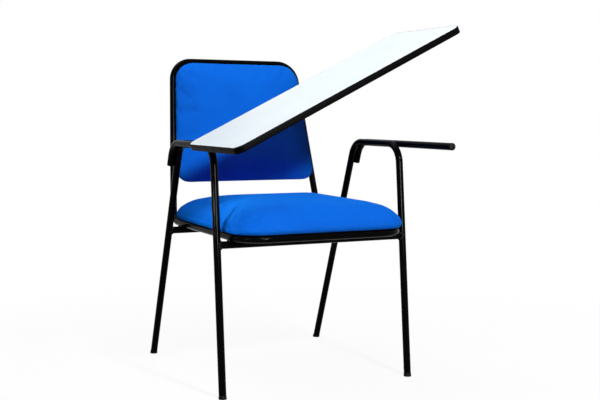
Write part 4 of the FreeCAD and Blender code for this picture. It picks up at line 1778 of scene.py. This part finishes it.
@dataclass
class Studio:
    """Pale floor, soft lamps and the camera of the photograph."""

    eye: tuple = (-1.193039, -2.540513, 0.701217)
    target: tuple = (0.082672, 0.047606, 0.457461)
    roll: float = 0.00645
    lens: float = 61.6654
    sensor: float = 36.0
    clip: tuple = (0.05, 60.0)
    world_light: float = 0.02
    floor_half: float = 12.0
    floor_fade: tuple = (0.5, 1.6)
    floor_glow: float = 0.91
    floor_seen: float = 0.96
    floor_bounce: float = 0.1
    lamps: tuple = (
        Softbox("front_softbox", (0.26, -2.45, 1.87), (0.0, 0.2, 0.6), (0.25, 0.25), 68.0),
        Softbox("overhead_softbox", (-0.7, 0.45, 2.65), (0.0, -0.05, 0.45), (1.3, 1.3), 28.0),
        Softbox("left_softbox", (-2.4, -1.5, 1.3), (0.0, 0.0, 0.5), (0.35, 0.35), 4.0),
        Softbox(
            "rear_softbox", (1.1, 2.9, 1.7), (0.0, 0.2, 0.6), (0.9, 0.9), 40.0, glossy=False
        ),
        Softbox(
            "front_card", (-0.15, -2.9, 1.05), (0.0, 0.0, 0.55), (0.35, 0.75), 150.0,
            diffuse=False,
        ),
        Softbox(
            "upper_card", (-0.6, -2.8, 2.4), (0.0, 0.2, 0.7), (0.45, 0.9), 75.0, diffuse=False
        ),
        Softbox(
            "seat_strip", (-1.5, -0.7, 0.58), (-0.22, -0.1, 0.43), (0.3, 0.08), 0.12,
            spread=math.radians(10.0),
        ),
    )

    def build(self) -> None:
        """Make the camera, the world, the floor and the lamps."""
        self.camera()
        self.world()
        self.floor()
        for softbox in self.lamps:
            self.lamp(softbox)
        bpy.context.scene.view_settings.view_transform = "Standard"

    @staticmethod
    def look(place: tuple, target: tuple, roll: float = 0.0) -> Matrix:
        """Turn that looks from a place to a target, both from the chair's datum.

        Args:
            place: Where the lamp or camera stands.
            target: What it looks at.
            roll: Turn about the view, in radians.

        Returns:
            The transform in the row frame.
        """
        eye = DATUM + Vector(place)
        forward = (DATUM + Vector(target) - eye).normalized()
        right = forward.cross(Vector((0.0, 0.0, 1.0))).normalized()
        rolled = right * math.cos(roll) + right.cross(forward) * math.sin(roll)
        turn = Matrix((rolled, rolled.cross(forward), -forward)).transposed()
        return Matrix.Translation(eye) @ turn.to_4x4()

    def camera(self) -> None:
        """Camera at the photograph's place, with its lens."""
        data = bpy.data.cameras.new("photo_camera")
        data.lens, data.sensor_width = self.lens, self.sensor
        data.clip_start, data.clip_end = self.clip
        camera = add_object("photo_camera", data)
        camera.matrix_world = self.look(self.eye, self.target, self.roll)
        bpy.context.scene.camera = camera

    def lamp(self, softbox: Softbox) -> None:
        """Hang one lamp.

        Args:
            softbox: Its place, aim, size, power and reach.
        """
        data = bpy.data.lights.new(softbox.name, "AREA")
        data.shape = "RECTANGLE"
        data.energy, data.spread = softbox.power, softbox.spread
        data.size, data.size_y = softbox.size
        lamp = add_object(softbox.name, data)
        lamp.matrix_world = self.look(softbox.place, softbox.target)
        lamp.visible_diffuse, lamp.visible_glossy = softbox.diffuse, softbox.glossy

    def world(self) -> None:
        """Soft light all round, with a white background."""
        world = bpy.data.worlds.new("studio_world")
        bpy.context.scene.world = world
        graph = Graph(world)
        clear = graph.seen_by("Is Camera Ray", "Is Glossy Ray", "Is Transmission Ray")
        white = {"Color": (1.0, 1.0, 1.0, 1.0)}
        light = graph.node("ShaderNodeBackground", {**white, "Strength": self.world_light})
        backdrop = graph.node("ShaderNodeBackground", {**white, "Strength": 1.0})
        graph.close_mixed("ShaderNodeOutputWorld", clear, light, backdrop)

    def floor(self) -> None:
        """Pale floor that keeps a faint shadow."""
        work = bmesh.new()
        bmesh.ops.create_grid(work, x_segments=1, y_segments=1, size=self.floor_half)
        mesh = bpy.data.meshes.new("studio_floor")
        work.to_mesh(mesh)
        work.free()
        floor = add_object("studio_floor", mesh)
        material = bpy.data.materials.new("PaleFloor")
        graph = Graph(material)
        reach = graph.node("ShaderNodeVectorMath", {0: graph.coordinates()}, operation="LENGTH")
        fade = graph.span(reach.outputs["Value"], self.floor_glow, 1.0, *self.floor_fade)
        seen = graph.seen_by("Is Camera Ray", "Is Glossy Ray")
        share = graph.math("MULTIPLY", seen, fade)
        bounced = graph.seen_by("Is Diffuse Ray")
        colour = graph.span(bounced, self.floor_seen, self.floor_bounce)
        matt = graph.node("ShaderNodeBsdfDiffuse", {"Color": colour})
        glow = graph.node("ShaderNodeEmission", {"Strength": 1.0})
        graph.close_mixed("ShaderNodeOutputMaterial", share, matt, glow)
        mesh.materials.append(material)


def seat_cushion() -> Cushion:
    """Cushion of the seat.

    Returns:
        The cushion with its sizes, in the seat's flat frame.
    """
    return Cushion(
        name="seat", frame=seat_frame(), low=-0.290, high=0.190, half_low=0.242, half_high=0.242,
        radius_low=0.078, radius_high=0.036, height=0.077 + SIZES.pad_clearance, board=0.010,
    )


def back_cushion() -> Cushion:
    """Cushion of the back.

    Returns:
        The cushion with its sizes, in the back's flat frame.
    """
    low, high = 0.108, 0.457
    return Cushion(
        name="back", frame=back_frame(), low=low, high=high,
        half_low=SIZES.upright_x(low) - 0.0055, half_high=SIZES.upright_x(high) - 0.003,
        radius_low=0.040, radius_high=0.054, height=0.044 + SIZES.pad_clearance, board=0.009,
        growth=0.007,
    )


def fixing_tabs() -> None:
    """Tabs and bolts of the seat and of the back."""
    axis = SIZES.loop_half_width
    seat = FixingTabs(seat_frame(), (-0.160, 0.110), 0.0, (axis, 0.0))
    seat.build("seat_tab_set", "seat_tabs", "seat_bolts", "seat_screws")
    taper = SIZES.upright_taper
    back = FixingTabs(back_frame(), (0.165, 0.385), taper, (axis, math.tan(taper)))
    back.build("back_tab_set", "back_tabs", "back_bolts", "back_screws")


def main() -> None:
    """Build every piece in order."""
    logging.basicConfig(level=logging.INFO, format="%(message)s")
    Studio().build()
    WeldedFrame().build()
    TubePlugs().build()
    seat_cushion().build()
    back_cushion().build()
    fixing_tabs()
    WritingTablet().build()


if __name__ == "__main__":
    main()
